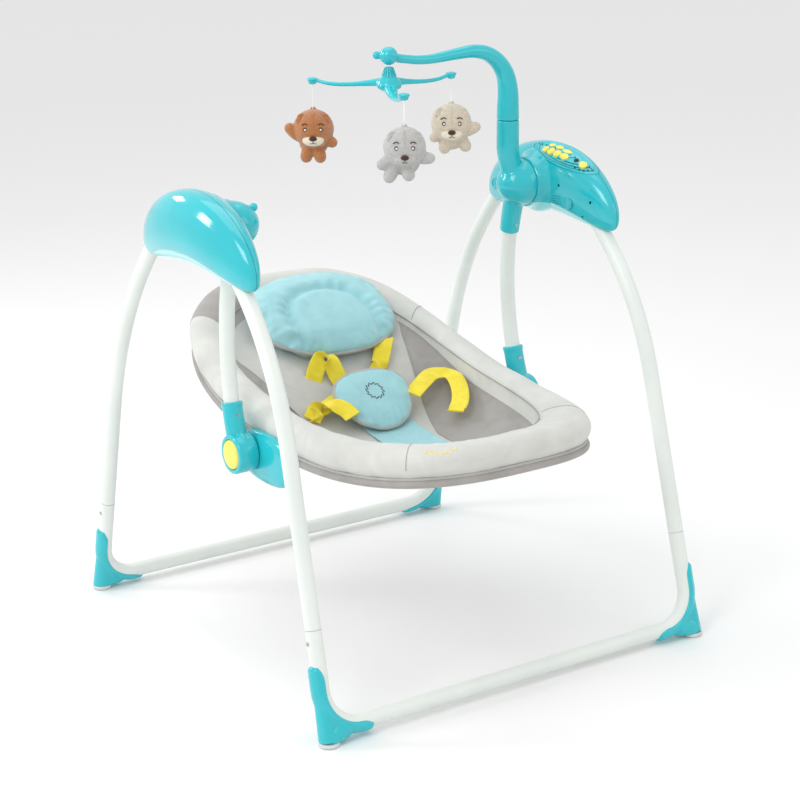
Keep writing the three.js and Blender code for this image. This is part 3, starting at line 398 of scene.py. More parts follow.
seatInside = seatInsideMaterial()
tealGloss = hardMaterial("tealGloss", "#24bcc6", "#20b5c0", 0.12, coat=0.3)
tealHousing = hardMaterial("tealHousing", "#22bac4", "#1eb3be", 0.08, coat=0.5, lip="#8fdde1")
# the housing's inside and the walls of its cuts and seam take a darker teal: painted shade
tealPaintedShade = hardMaterial("tealPaintedShade", "#0f8f9c", "#0c8894", 0.3)
tubePaint = hardMaterial("tubePaint", "#e3e8e3", "#dde3de", 0.28, grain=1400, depth=0.00003)
yellowPlastic = hardMaterial("yellowPlastic", "#f0e26a", "#ecdd62", 0.25)
whiteRubber = hardMaterial("whiteRubber", "#d7dbda", "#cbd0cf", 0.55)
darkPlastic = hardMaterial("darkPlastic", "#20262a", "#181d21", 0.25)
steelFinish = hardMaterial("steelFinish", "#b9bdc0", "#a7abae", 0.3, metallic=1.0)
boardFinish = hardMaterial("boardFinish", "#1d6b3c", "#175a32", 0.4)
copperFinish = hardMaterial("copperFinish", "#b06a3a", "#9a5a30", 0.35, metallic=1.0)
whitePlastic = hardMaterial("whitePlastic", "#f2f3f1", "#e8eae8", 0.3)
seatLight = clothMaterial("seatLight", "#d2d2cd", "#c8c8c3")
seatDark = clothMaterial("seatDark", "#a5a19d", "#989490")
pipingGrey = clothMaterial("pipingGrey", "#b4b4b0", "#a6a6a2", threads=900, depth=0.0004)
blueCloth = clothMaterial("blueCloth", "#a3d4da", "#97cad1", folds=40)
webbingYellow = clothMaterial(
    "webbingYellow", "#f4e03c", "#e6d02c", threads=700, folds=60, foldShare=0.3, depth=0.0005
)
threadDark = clothMaterial("threadDark", "#4b5a62", "#3f4d55", threads=1500, depth=0.0003)
threadYellow = clothMaterial("threadYellow", "#efe08a", "#e5d478", threads=1500, depth=0.0003)
whiteCord = clothMaterial("whiteCord", "#f4f4f2", "#e6e6e4", threads=1500, depth=0.0002)
beigePlush = plushMaterial("beigePlush", "#dccfbb", "#cbbca6")
brownPlush = plushMaterial("brownPlush", "#c07a42", "#a86633")
greyPlush = plushMaterial("greyPlush", "#c3c2bf", "#afaeab")
creamPlush = plushMaterial("creamPlush", "#efe3cf", "#e2d4bd", depth=0.0012)
noseBrown = clothMaterial("noseBrown", "#4a2b1e", "#3a2016", threads=1300, depth=0.0004)
print("finishes ready")

# Helpers for shapes
def finished(name, bm, materials, crease=38):
    # Faces outwards, smooth except across sharp edges
    bmesh.ops.recalc_face_normals(bm, faces=bm.faces)
    for face in bm.faces:
        face.smooth = True
    for edge in bm.edges:
        if len(edge.link_faces) == 2:
            edge.smooth = edge.calc_face_angle(0) < math.radians(crease)
    mesh = bpy.data.meshes.new(name)
    bm.to_mesh(mesh)
    bm.free()
    piece = bpy.data.objects.new(name, mesh)
    scene.collection.objects.link(piece)
    for material in materials if isinstance(materials, list) else [materials]:
        mesh.materials.append(material)
    return piece


def rideOn(piece, body, slot, *nodes):
    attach(piece, body)
    if nodes:
        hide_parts(*nodes)
    return piece


def applied(piece):
    # The modifiers' result becomes the mesh
    graph = bpy.context.evaluated_depsgraph_get()
    mesh = bpy.data.meshes.new_from_object(piece.evaluated_get(graph))
    piece.modifiers.clear()
    piece.data = mesh
    return piece


def removed(piece):
    bpy.data.objects.remove(piece)


def meshOf(piece):
    # The piece's mesh goes on being worked on, and the piece is done with
    bm = bmesh.new()
    bm.from_mesh(piece.data)
    removed(piece)
    return bm


def cutWith(piece, cutter, operation="DIFFERENCE"):
    # The cutter is thrown away afterwards
    change = piece.modifiers.new("cut", "BOOLEAN")
    change.operation = operation
    change.solver = "EXACT"
    change.object = cutter
    applied(piece)
    removed(cutter)


def softened(bm, times):
    for _ in range(times):
        bmesh.ops.smooth_vert(
            bm, verts=bm.verts, factor=0.5, use_axis_x=True, use_axis_y=True, use_axis_z=True
        )


def fused(name, bm, materials, voxel, smoothing):
    # Overlapping shapes become one skin with soft joins
    rough = finished(name, bm, materials)
    remesh = rough.modifiers.new("fuse", "REMESH")
    remesh.mode = "VOXEL"
    remesh.voxel_size = voxel
    applied(rough)
    skin = meshOf(rough)
    softened(skin, smoothing)
    return finished(name, skin, materials, crease=180)


def framesAlong(stations, up=Vector((0, 0, 1)), closed=False):
    # Turned frames at each station that don't twist
    frames = []
    count = len(stations)
    side = None
    for i, here in enumerate(stations):
        back = stations[(i - 1) % count] if closed or i > 0 else here
        ahead = stations[(i + 1) % count] if closed or i < count - 1 else here
        tangent = (ahead - back).normalized()
        if side is None:
            side = up.cross(tangent)
            if side.length < 0.05:
                side = Vector((1, 0, 0)).cross(tangent)
        side = (side - tangent * side.dot(tangent)).normalized()
        turned = Matrix((side, tangent.cross(side), tangent)).transposed().to_4x4()
        frames.append(Matrix.Translation(here) @ turned)
    return frames


def ringOf(bm, matrix, sides, capped=False):
    made = bmesh.ops.create_circle(
        bm, cap_ends=capped, cap_tris=False, segments=sides, radius=1, matrix=matrix
    )
    verts = made["verts"]
    inside = set(verts)
    edges = list({e for v in verts for e in v.link_edges if e.other_vert(v) in inside})
    return verts, edges


def bridged(bm, rings):
    # A skin from each ring of edges to the next
    for one, other in zip(rings, rings[1:]):
        bmesh.ops.bridge_loops(bm, edges=one + other)


def addSweep(bm, stations, radii, sides=28, flat=1.0, closed=False, rounded=False, up=Vector((0, 0, 1))):
    # A tube through the stations; flat squeezes it along its second axis
    stations = [Vector(s) for s in stations]
    radii = list(radii) if isinstance(radii, (list, tuple)) else [radii] * len(stations)
    if rounded:
        first = (stations[0] - stations[1]).normalized() * radii[0]
        last = (stations[-1] - stations[-2]).normalized() * radii[-1]
        arcs = [math.radians(a) for a in (25, 50, 72, 86)]
        stations = (
            [stations[0] + first * math.sin(a) for a in reversed(arcs)]
            + stations
            + [stations[-1] + last * math.sin(a) for a in arcs]
        )
        radii = (
            [radii[0] * math.cos(a) for a in reversed(arcs)] + radii + [radii[-1] * math.cos(a) for a in arcs]
        )
    rings = []
    last = len(stations) - 1
    for i, (matrix, radius) in enumerate(zip(framesAlong(stations, up, closed), radii)):
        size = Matrix.Diagonal((radius, radius * flat, 1, 1))
        rings.append(ringOf(bm, matrix @ size, sides, capped=not closed and i in (0, last))[1])
    bridged(bm, rings + rings[:1] if closed else rings)


def curveThrough(points, steps=8, closed=False):
    # A soft line through a few points
    points = [Vector(p) for p in points]
    count = len(points)
    line = []
    for i in range(count if closed else count - 1):
        pick = (lambda k: points[k % count]) if closed else (lambda k: points[min(count - 1, max(0, k))])
        a, b, c, d = pick(i - 1), pick(i), pick(i + 1), pick(i + 2)
        for k in range(steps):
            t = k / steps
            bend = (2 * a - 5 * b + 4 * c - d) * t * t
            turn = (3 * b - a - 3 * c + d) * t ** 3
            line.append(0.5 * ((2 * b) + (c - a) * t + bend + turn))
    return line if closed else line + [points[-1]]


def eased(sizes, steps, count):
    # One size for each station of a soft line with so many steps between its points
    last = len(sizes) - 1
    line = []
    for i in range(count):
        one, other = sizes[min(last, i // steps)], sizes[min(last, i // steps + 1)]
        line.append(one * (1 - i % steps / steps) + other * (i % steps) / steps)
    return line


def addBall(bm, place, size, rings=20, turn=None):
    matrix = Matrix.Translation(place) @ (turn or Matrix.Identity(4))
    size = size if isinstance(size, (tuple, list)) else (size, size, size)
    matrix = matrix @ Matrix.Diagonal((*size, 1))
    bmesh.ops.create_uvsphere(bm, u_segments=int(rings * 1.6), v_segments=rings, radius=1, matrix=matrix)


def addRod(bm, start, end, radius, endRadius=None, sides=24):
    start, end = Vector(start), Vector(end)
    aim = (end - start).to_track_quat("Z", "Y").to_matrix().to_4x4()
    bmesh.ops.create_cone(
        bm,
        cap_ends=True,
        segments=sides,
        radius1=radius,
        radius2=radius if endRadius is None else endRadius,
        depth=(end - start).length,
        matrix=Matrix.Translation((start + end) / 2) @ aim,
    )


def addBox(bm, low, high):
    low, high = Vector(low), Vector(high)
    size = Matrix.Diagonal((*(high - low), 1))
    bmesh.ops.create_cube(bm, size=1, matrix=Matrix.Translation((low + high) / 2) @ size)


def addSpin(bm, profile, origin, axis, steps=64):
    # Profile points are (distance from the axis, place along the axis)
    axis = Vector(axis)
    out = axis.orthogonal().normalized()
    verts = [bm.verts.new(Vector(origin) + axis * along + out * away) for away, along in profile]
    edges = [bm.edges.new(pair) for pair in zip(verts, verts[1:])]
    bmesh.ops.spin(
        bm, geom=verts + edges, cent=origin, axis=axis, dvec=(0, 0, 0),
        angle=2 * math.pi, steps=steps, use_merge=True,
    )
    bmesh.ops.remove_doubles(bm, verts=bm.verts, dist=1e-6)


def mirroredBm(bm):
    copy = bm.copy()
    bmesh.ops.scale(copy, vec=(-1, 1, 1), verts=copy.verts)
    bmesh.ops.reverse_faces(copy, faces=copy.faces)
    return copy


# Leg frames
legFrame = {
    "tubeRadius": 11 * mm,
    "floorX": 310 * mm,
    "lean": 13 / 599,
    "joinHeight": 148 * mm,
    "foldHeight": 599 * mm,
    "baseHeight": 18.5 * mm,
    "cornerRadius": 52 * mm,
    "frontReach": 328 * mm,
    "frontSplay": 14.3,
    "frontBend": (372 * mm, 407 * mm),
    "rearReach": 334 * mm,
    "rearSplay": 11.7,
    "rearBend": (307 * mm, 551 * mm),
    "topHeight": 614 * mm,
    "joinLine": 0.8 * mm,
    "snapDrop": 16 * mm,
    "snapRadius": 2.8 * mm,
}


def legPoint(end, hand, height):
    # end is front or rear, hand is 1 on the right and -1 on the left
    side = -1 if end == "front" else 1
    splay = math.radians(legFrame[end + "Splay"])
    bendStart, bendRadius = legFrame[end + "Bend"]
    reach = legFrame[end + "Reach"] - height * math.tan(splay)
    if height > bendStart:
        startReach = legFrame[end + "Reach"] - bendStart * math.tan(splay)
        centreReach = startReach - bendRadius * math.cos(splay)
        centreZ = bendStart - bendRadius * math.sin(splay)
        reach = centreReach + math.sqrt(max(0, bendRadius ** 2 - (height - centreZ) ** 2))
    return Vector((hand * (legFrame["floorX"] - legFrame["lean"] * height), side * reach, height))


def cornerBetween(before, corner, after, radius, steps=14):
    u, v = (before - corner).normalized(), (after - corner).normalized()
    half = u.angle(v) / 2
    centre = corner + (u + v).normalized() * (radius / math.sin(half))
    start = corner + u * (radius / math.tan(half)) - centre
    end = corner + v * (radius / math.tan(half)) - centre
    axis = start.cross(end).normalized()
    return [
        centre + Quaternion(axis, (math.pi - 2 * half) * i / steps) @ start for i in range(steps + 1)
    ]


def baseCorner(end, hand):
    # Stations from the leg run round the corner to the rail
    top = legPoint(end, hand, 0.11)
    corner = legPoint(end, hand, legFrame["baseHeight"])
    rail = Vector((0, corner.y, corner.z))
    return cornerBetween(top, corner, rail, legFrame["cornerRadius"])


def buildFrames():
    radius = legFrame["tubeRadius"]
    join = legFrame["joinHeight"]
    for end in ("front", "rear"):
        body = end + "_frame"
        for hand, word in ((1, "right"), (-1, "left")):
            first = join + 0.02
            heights = [join + legFrame["joinLine"]]
            heights += [first + k * (legFrame["topHeight"] - first) / 34 for k in range(35)]
            bm = bmesh.new()
            addSweep(bm, [legPoint(end, hand, h) for h in heights], radius, sides=36)
            tube = finished(f"{end}_leg_tube_{word}", bm, tubePaint)
            rideOn(tube, body, "pale_tube", f"{end}_leg_{word}")
            # a dark line shows where the upper tube sits on the base tube, and the snap button below it
            bm = bmesh.new()
            ends = [legPoint(end, hand, join + away) for away in (-0.03, 0.03)]
            addRod(bm, *ends, radius - 0.0009, sides=36)
            side = Vector((hand, 0, 0))
            foot = legPoint(end, hand, join - legFrame["snapDrop"])
            addRod(bm, foot, foot + side * (radius + 0.0006), legFrame["snapRadius"], sides=20)
            rideOn(finished(f"{end}_join_{word}", bm, steelFinish), body, "steel")
        stations = [legPoint(end, 1, h) for h in (join, 0.13, 0.115)] + baseCorner(end, 1)
        left = [Vector((-p.x, p.y, p.z)) for p in reversed(stations)]
        inner = stations[-1].x
        rail = [Vector((inner * k / 6, stations[-1].y, stations[-1].z)) for k in range(5, -6, -1)]
        bm = bmesh.new()
        addSweep(bm, stations + rail + left, radius, sides=36, up=Vector((0, 1, 0)))
        rideOn(finished(f"{end}_base_rail", bm, tubePaint), body, "pale_tube", f"{end}_base_tube")


buildFrames()
print("leg frames built")

footCover = {
    "wall": 3.6 * mm,
    "legTip": 104 * mm,
    "railTip": 241 * mm,
    "padRadius": 14.5 * mm,
    "padTop": 4.9 * mm,
    "flare": 13.8 * mm,
    "ribRadius": 9.8 * mm,
    "ribDrop": 3 * mm,
    "lobe": (-24.5 * mm, 18.2 * mm),
    "lobeRadius": 10.8 * mm,
    "voxel": 1.15 * mm,
}


def footShell(end):
    # The cover wraps the outside of the bend, and its ends run out to points on the tube
    stations = baseCorner(end, 1)
    legRun = [legPoint(end, 1, footCover["legTip"] - k * 0.005) for k in range(12)]
    legRun = [p for p in legRun if p.z > stations[0].z + 0.002]
    railY, railZ = stations[-1].y, stations[-1].z
    railRun = [Vector((stations[-1].x - 0.005 * k, railY, railZ)) for k in range(1, 13)]
    path = legRun + stations + [p for p in railRun if p.x > footCover["railTip"]]
    total = len(path) - 1
    sunk = 2.2 * mm  # the skin runs this far under the tube's where the cover stops
    inward = (Vector((0, railY * 0.86, 0.12)) - stations[7]).normalized()
    bm = bmesh.new()
    rings = []
    for i, matrix in enumerate(framesAlong(path, Vector((0, 1, 0)))):
        t = i / total
        cover = min(1, 2.4 * math.sin(math.pi * t)) ** 0.6  # how far round the tube the cover reaches
        verts, edges = ringOf(bm, matrix @ Matrix.Diagonal((0.01, 0.01, 1, 1)), 48, capped=i in (0, total))
        tangent = matrix.col[2].to_3d()
        out = (-inward - tangent * (-inward).dot(tangent)).normalized()
        for v in verts:
            ray = (v.co - path[i]).normalized()
            facing = ray.dot(out)
            edge = 0.85 - 1.0 * cover
            lift = max(0.0, min(1.0, (facing - edge) / 0.28))
            lift = lift * lift * (3 - 2 * lift)
            v.co = path[i] + ray * (legFrame["tubeRadius"] - sunk + lift * (footCover["wall"] + sunk))
        rings.append(edges)
    bridged(bm, rings)
    # the gusset flares down to the round pad, with a small lobe beside it
    pad = Vector((legFrame["floorX"], stations[0].y, 0))
    pad.y = (-1 if end == "front" else 1) * legFrame[end + "Reach"]
    base = pad + Vector((0, 0, footCover["padTop"]))
    for number in range(1, 13):
        rib = stations[number] - inward * footCover["ribDrop"]
        addRod(bm, base, rib, footCover["flare"], footCover["ribRadius"], 40)
    lobe = pad + Vector((footCover["lobe"][0], 0, footCover["lobe"][1]))
    addRod(bm, base + Vector((-0.004, 0, 0.007)), lobe, 0.0128, footCover["lobeRadius"], 28)
    addBall(bm, lobe, footCover["lobeRadius"], 16)
    bmesh.ops.bisect_plane(
        bm, geom=bm.verts[:] + bm.edges[:] + bm.faces[:], plane_co=base, plane_no=(0, 0, 1), clear_inner=True
    )
    bmesh.ops.holes_fill(bm, edges=[e for e in bm.edges if e.is_boundary], sides=0)
    return bm


def buildFeet():
    for end in ("front", "rear"):
        shell = footShell(end)
        for hand, word in ((1, "right"), (-1, "left")):
            bm = shell.copy() if hand > 0 else mirroredBm(shell)
            cover = fused(f"{end}_foot_cover_{word}", bm, tealGloss, footCover["voxel"], 8)
            rideOn(cover, end + "_frame", "teal_plastic", f"{end}_foot_{word}")
            low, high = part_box(f"{end}_pad_{word}")
            centre = (low + high) / 2
            radius = footCover["padRadius"]
            bm = bmesh.new()
            profile = [(0, 0.0003), (radius - 0.002, 0.0003), (radius - 0.0004, 0.0012), (radius, 0.003),
                       (radius - 0.0002, 0.0052), (radius - 0.001, 0.006), (0, 0.006)]
            addSpin(bm, profile, (centre.x, centre.y, 0), (0, 0, 1), 48)
            sole = finished(f"{end}_floor_pad_{word}", bm, whiteRubber)
            rideOn(sole, end + "_frame", "foot_rubber", f"{end}_pad_{word}")


buildFeet()
print("feet built")

# Housings
housing = {
    "x": 297 * mm,
    "centreY": -5 * mm,
    "centreZ": 626 * mm,
    "half": (34 * mm, 152 * mm, 50 * mm),
    "arch": 42 * mm,
    "taper": 0.32,
    "square": 2.4,
    "wall": 2.6 * mm,
    "cuts": 47,
    "gap": 0.35 * mm,
    "slotRadius": 12.1 * mm,
    "collarFace": 247.6 * mm,
    "swingAxis": 621 * mm,
}
# small round openings of the inner face: (y, z, radius)
sideHoles = [
    (-60.5, 622.8, 2.4), (-120.5, 606, 2.4), (-104, 581.5, 3.2), (88, 606, 2.8), (112, 590, 2.4),
]
panelPlace = {
    "centre": (286 * mm, -34 * mm, 664 * mm),
    "pitch": 16,
    "lean": -24,
    "along": -16 * mm,
    "halfLength": 66 * mm,
    "halfWidth": 21 * mm,
    "gap": 0.7 * mm,
}


def panelMatrix():
    turn = Matrix.Rotation(math.radians(panelPlace["lean"]), 4, "Y") @ Matrix.Rotation(
        math.radians(panelPlace["pitch"]), 4, "X"
    )
    return Matrix.Translation(panelPlace["centre"]) @ turn


def domeBm(inset):
    bm = bmesh.new()
    bmesh.ops.create_cube(bm, size=2)
    bmesh.ops.subdivide_edges(bm, edges=bm.edges, cuts=housing["cuts"], use_grid_fill=True)
    power = housing["square"]
    halfX, halfY, halfZ = (h - inset for h in housing["half"])
    longHalf = housing["half"][1]
    for v in bm.verts:
        p = Vector([math.tan(c * math.pi / 4) for c in v.co]).normalized()
        size = sum(abs(c) ** power for c in p) ** (-1 / power)
        y = p.y * size * halfY
        share = (y / longHalf) ** 2
        below = max(0, min(1, (-p.z * size * halfZ - 0.0305) / 0.0022))
        narrow = 1 - housing["taper"] * share - 0.045 * below  # a small step sets the lower lip off
        v.co = (
            housing["x"] + p.x * size * halfX * narrow,
            housing["centreY"] + y,
            housing["centreZ"] + p.z * size * halfZ - housing["arch"] * share,
        )
    return bm


def collarProfile():
    face = housing["collarFace"] - housing["x"]
    points = [(0, 0), (34, 0), (35.8, 0.3), (36.8, 1.2), (37.2, 3), (37.8, 7), (39.2, 11), (41.8, 14.5),
              (44.5, 17.5), (46.5, 21), (47.5, 26), (47.5, 40), (0, 40)]
    return [(away * mm, face + along * mm) for away, along in points]


def housingParts(right):
    dome = finished("domeOuter", domeBm(0), tealHousing)
    bm = bmesh.new()
    addSpin(bm, collarProfile(), (housing["x"], 0, housing["swingAxis"]), (1, 0, 0), 96)
    collar = finished("collarBody", bm, tealHousing)
    cutWith(dome, collar, "UNION")
    # the hollow's inner wall is given the darker teal, painted shade
    hollow = finished("domeInner", domeBm(housing["wall"]), tealPaintedShade)
    cutWith(dome, hollow)
    bm = bmesh.new()
    for end, side in (("front", -1), ("rear", 1)):
        pin = legPoint(end, 1, legFrame["foldHeight"])
        path = [legPoint(end, 1, 0.53 + 0.006 * k) for k in range(14)] + [legPoint(end, 1, 0.6148)]
        for turn in range(0, 27, 3):  # room for the leg from its stop to its folded place
            swung = Matrix.Translation(pin) @ Matrix.Rotation(math.radians(side * -turn), 4, "X")
            swung = swung @ Matrix.Translation(-pin)
            addSweep(bm, [swung @ p for p in path], housing["slotRadius"], 28)
    slots = finished("slotCutter", bm, tealPaintedShade)
    union = slots.modifiers.new("weld", "REMESH")
    union.mode = "VOXEL"
    union.voxel_size = 0.0012
    applied(slots)
    cutWith(dome, slots)
    bm = bmesh.new()
    for y, height, size in sideHoles:
        addRod(bm, (0.24, y * mm, height * mm), (0.2785, y * mm, height * mm), size * mm, sides=20)
    if right:
        for row in range(4):
            for column in range(5):
                y, height = -62 + 3.6 * column, 595 + 3.6 * row
                addRod(bm, (0.255, y * mm, height * mm), (0.2755, y * mm, height * mm), 0.95 * mm, sides=12)
        addBox(bm, (0.3145, 0.0217, 0.6077), (0.34, 0.0783, 0.6403))
    addRod(bm, (0.24, 0, housing["swingAxis"]), (0.2969, 0, housing["swingAxis"]), 5.4 * mm, sides=32)
    holes = finished("holeCutter", bm, tealPaintedShade)
    cutWith(dome, holes)
    if right:
        bm = bmesh.new()
        gap = panelPlace["gap"]
        size = (panelPlace["halfWidth"] + gap, panelPlace["halfLength"] + gap, 1, 1)
        middle = Matrix.Translation((0, panelPlace["along"], 0))
        ringOf(bm, middle @ Matrix.Diagonal(size), 96, capped=True)
        made = bmesh.ops.extrude_face_region(bm, geom=bm.faces[:])["geom"]
        top = [g for g in made if isinstance(g, bmesh.types.BMVert)]
        bmesh.ops.translate(bm, verts=top, vec=(0, 0, 0.05))
        bmesh.ops.translate(bm, verts=bm.verts, vec=(0, 0, -0.0075))
        bmesh.ops.transform(bm, verts=bm.verts, matrix=panelMatrix())
        seatCut = finished("panelCutter", bm, tealPaintedShade)
        cutWith(dome, seatCut)
    halves = {}
    seamLow, seamHigh = housing["x"] - housing["gap"], housing["x"] + housing["gap"]
    for word, low, high in (("inner", 0.2, seamLow), ("outer", seamHigh, 0.4)):
        half = dome.copy()
        half.data = dome.data.copy()
        scene.collection.objects.link(half)
        bm = bmesh.new()
        addBox(bm, (low, -0.3, 0.5), (high, 0.3, 0.75))
        keep = finished("halfKeep", bm, tealPaintedShade)
        cutWith(half, keep, "INTERSECT")
        halves[word] = meshOf(half)
        bmesh.ops.remove_doubles(halves[word], verts=halves[word].verts, dist=2e-6)
    removed(dome)
    return halves


def buildHousings():
    for word in ("right", "left"):
        for half, bm in housingParts(word == "right").items():
            if word == "left":
                bm = mirroredBm(bm)
            shell = finished(f"housing_shell_{half}_{word}", bm, tealHousing, crease=32)
            rideOn(shell, "housings", "teal_plastic", f"housing_{half}_{word}")
        hand = 1 if word == "right" else -1
        bm = bmesh.new()
        for end in ("front", "rear"):  # ringed caps over the heads of the fold pins
            low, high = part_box(f"{end}_fold_pin_right")
            away = [(0, -0.6), (4.6, -0.6), (5, 0.1), (5.6, 0.1), (6, -0.8),
                    (7.3, -0.8), (7.9, -0.3), (7.9, 1.6), (0, 1.6)]
            centre = (low.x, (low.y + high.y) / 2, (low.z + high.z) / 2)
            addSpin(bm, [(r * mm, x * mm) for r, x in away], centre, (1, 0, 0), 48)
        if hand < 0:
            bm = mirroredBm(bm)
        rideOn(finished(f"fold_pin_caps_{word}", bm, tealGloss), "housings", "teal_plastic")


buildHousings()
print("housings built")

# Controls panel, its leaf buttons, sensor and lamps
panelLook = {
    "proud": 0.3 * mm,
    "depth": 7 * mm,
    "rings": (1.0, 0.985, 0.95, 0.86, 0.74, 0.6, 0.45, 0.3, 0.15),
    "buttonRise": 1.7 * mm,
    # along, across, half length, half width, turn
    "leaves": [
        (19, -7.5, 5.6, 4.9, 0.5), (6.5, -8, 6.6, 5.3, 0.4),
        (-7, -8, 7.2, 5.3, 0.3), (-22, -7.5, 8.2, 4.8, 0.1),
    ],
    "power": (-57, -3, 6.2, 6.2, 0.0),
    "inlays": [(15, 3.4, 6.0, 4.2, 0.1), (0, 4.2, 8.4, 4.5, 0.0), (-18, 3.0, 9.0, 4.0, 0.1)],
    "sensor": (-43, -3, 3.9),
    "lamps": [(-50, -13), (-58, -12.5), (-65, -10), (-69, -5.5), (-70, 0.5)],
    "dots": [(34, -7, 0.9), (37, -3, 0.9), (38, 2, 0.9), (31, -10, 0.9)],
}
crown = BVHTree.FromBMesh(domeBm(0))


def onPanel(bm):
    # Shapes drawn flat are laid on the curved crown of the housing, keeping their heights above it
    place = panelMatrix()
    up = place.to_3x3() @ Vector((0, 0, 1))
    for v in bm.verts:
        foot = place @ Vector((v.co.x, v.co.y, 0))
        hit = crown.ray_cast(foot + up * 0.03, -up)[0] or foot
        v.co = hit + up * v.co.z


def panelDisc(bm, along, across, halfLength, halfWidth, turn, low, high, sides=40, point=0.0, bevel=0.0005):
    # A flat leaf or disc standing on the panel, its sides running to points where point is over 0
    place = Matrix.Translation((across * mm, along * mm, low)) @ Matrix.Rotation(turn, 4, "Z")
    size = Matrix.Diagonal((halfWidth * mm, halfLength * mm, 1, 1))
    verts = bmesh.ops.create_circle(bm, cap_ends=True, segments=sides, radius=1)["verts"]
    for v in verts:
        v.co.x *= 1 - point * abs(v.co.y) ** 2
    face = verts[0].link_faces[0]
    bmesh.ops.transform(bm, verts=verts, matrix=place @ size)
    made = bmesh.ops.extrude_face_region(bm, geom=[face])["geom"]
    top = [g for g in made if isinstance(g, bmesh.types.BMVert)]
    bmesh.ops.translate(bm, verts=top, vec=(0, 0, high - low))
    edges = [e for e in {e for v in top for e in v.link_edges} if all(v in top for v in e.verts)]
    bmesh.ops.bevel(
        bm, geom=edges, offset=bevel, offset_type="OFFSET", segments=3,
        profile=0.5, affect="EDGES", material=-1,
    )


def panelPlate():
    bm = bmesh.new()
    top = panelLook["proud"]
    heights = [(1.0, -panelLook["depth"]), (1.0, top - 0.0011)]
    heights += [(share, top - (0.0004 if share > 0.99 else 0.0)) for share in panelLook["rings"]]
    rings = []
    for k, (share, z) in enumerate(heights):
        share = 0.995 if k == 2 else share
        size = Matrix.Diagonal((panelPlace["halfWidth"] * share, panelPlace["halfLength"] * share, 1, 1))
        place = Matrix.Translation((0, panelPlace["along"], z)) @ size
        rings.append(ringOf(bm, place, 96, capped=k in (0, len(heights) - 1))[1])
    bridged(bm, rings)
    return bm


def buildPanel():
    top = panelLook["proud"]
    bm = panelPlate()
    onPanel(bm)
    rideOn(finished("panel_plate", bm, tealGloss), "housings", "teal_plastic", "control_panel")
    shapes = list(enumerate(panelLook["leaves"], 1)) + [(0, panelLook["power"])]
    for number, (along, across, halfLength, halfWidth, turn) in shapes:
        name = f"leaf_button_{number}" if number else "power_button"
        bm = bmesh.new()
        high = top + panelLook["buttonRise"]
        point = 0.3 if number else 0
        panelDisc(bm, along, across, halfLength, halfWidth, turn, top - 0.002, high, point=point)
        onPanel(bm)
        rideOn(finished("smooth_" + name, bm, yellowPlastic), name, "yellow_plastic", name)
    bm = bmesh.new()
    for along, across, halfLength, halfWidth, turn in panelLook["inlays"]:
        size = (along, across, halfLength, halfWidth, turn)
        panelDisc(bm, *size, top - 0.001, top + 0.0008, point=0.35, bevel=0.0003)
    onPanel(bm)
    rideOn(finished("leaf_inlays", bm, yellowPlastic), "housings", "yellow_plastic")
    bm = bmesh.new()
    along, across, radius = panelLook["sensor"]
    addBall(bm, (across * mm, along * mm, top), (radius * mm, radius * mm, 2.0 * mm), 14)
    for along, across in panelLook["lamps"]:
        addBall(bm, (across * mm, along * mm, top), (1.25 * mm, 1.25 * mm, 0.7 * mm), 8)
    for along, across, radius in panelLook["dots"]:
        addBall(bm, (across * mm, along * mm, top), (radius * mm, radius * mm, 0.6 * mm), 8)
    onPanel(bm)
    rideOn(finished("sensor_and_lamps", bm, darkPlastic), "housings", "dark_plastic")


buildPanel()
print("controls panel built")

# Swing: hubs, hanger tubes, recline knuckles
swing = {
    "face": 247 * mm,
    "axis": 621 * mm,
    "hubRadius": 34 * mm,
    "hubDepth": 42 * mm,
    "socketRadius": 14.6 * mm,
    "stubX": 219 * mm,
    "stubTop": 716.0 * mm,
    "stubRadius": 16.5 * mm,
    "tubeRadius": 11 * mm,
    "knuckleY": -2 * mm,
    "knuckleZ": 298 * mm,
    "voxel": 1.35 * mm,
    "plugBore": (686.8, 730, 12.5),  # foot, top and radius
    "peg": [(226, 640), (219, 640.8), (211, 641.5), (209.5, 641.6)],
    "pegRadii": (3.4, 5.4, 6.0),
    "screws": ((352, 3.0), (556, 2.6)),  # height up the hanger, radius
}
hanger = {"foot": 298, "length": 323, "x": 245, "lean": 8, "bow": 31, "bowRadius": 436.2, "middle": 459.5}


def hangerPoint(height, hand=1):
    # The hanger tubes bow a little; heights in millimetres
    share = (height - hanger["foot"]) / hanger["length"]
    fall = math.sqrt(hanger["bowRadius"] ** 2 - (height - hanger["middle"]) ** 2) - hanger["bowRadius"]
    bow = hanger["bow"] + fall - 2 * (1 - share)
    return Vector((hand * (hanger["x"] - hanger["lean"] * share) * mm, bow * mm, height * mm))


def clippedAt(bm, x):
    # Everything beyond the plane is cut off and the cut is closed
    everything = bm.verts[:] + bm.edges[:] + bm.faces[:]
    bmesh.ops.bisect_plane(bm, geom=everything, plane_co=(x, 0, 0), plane_no=(1, 0, 0), clear_outer=True)
    bmesh.ops.holes_fill(bm, edges=[e for e in bm.edges if e.is_boundary])


def hubBm(hand):
    bm = bmesh.new()
    axis = swing["axis"]
    addBall(bm, (swing["face"], 0, axis), (swing["hubDepth"], swing["hubRadius"], swing["hubRadius"]), 40)
    widening = [swing["socketRadius"] + 0.00014 * k for k in range(11)]
    addSweep(bm, [hangerPoint(h) for h in range(545, 616, 7)], widening, 32)
    if hand > 0:
        x = swing["stubX"]
        stub = [(0.233, 0, 0.622), (0.2245, 0, 0.648), (x, 0, 0.672), (x, 0, 0.695), (x, 0, swing["stubTop"])]
        addSweep(bm, curveThrough(stub, 5), swing["stubRadius"], 36)
    return bm


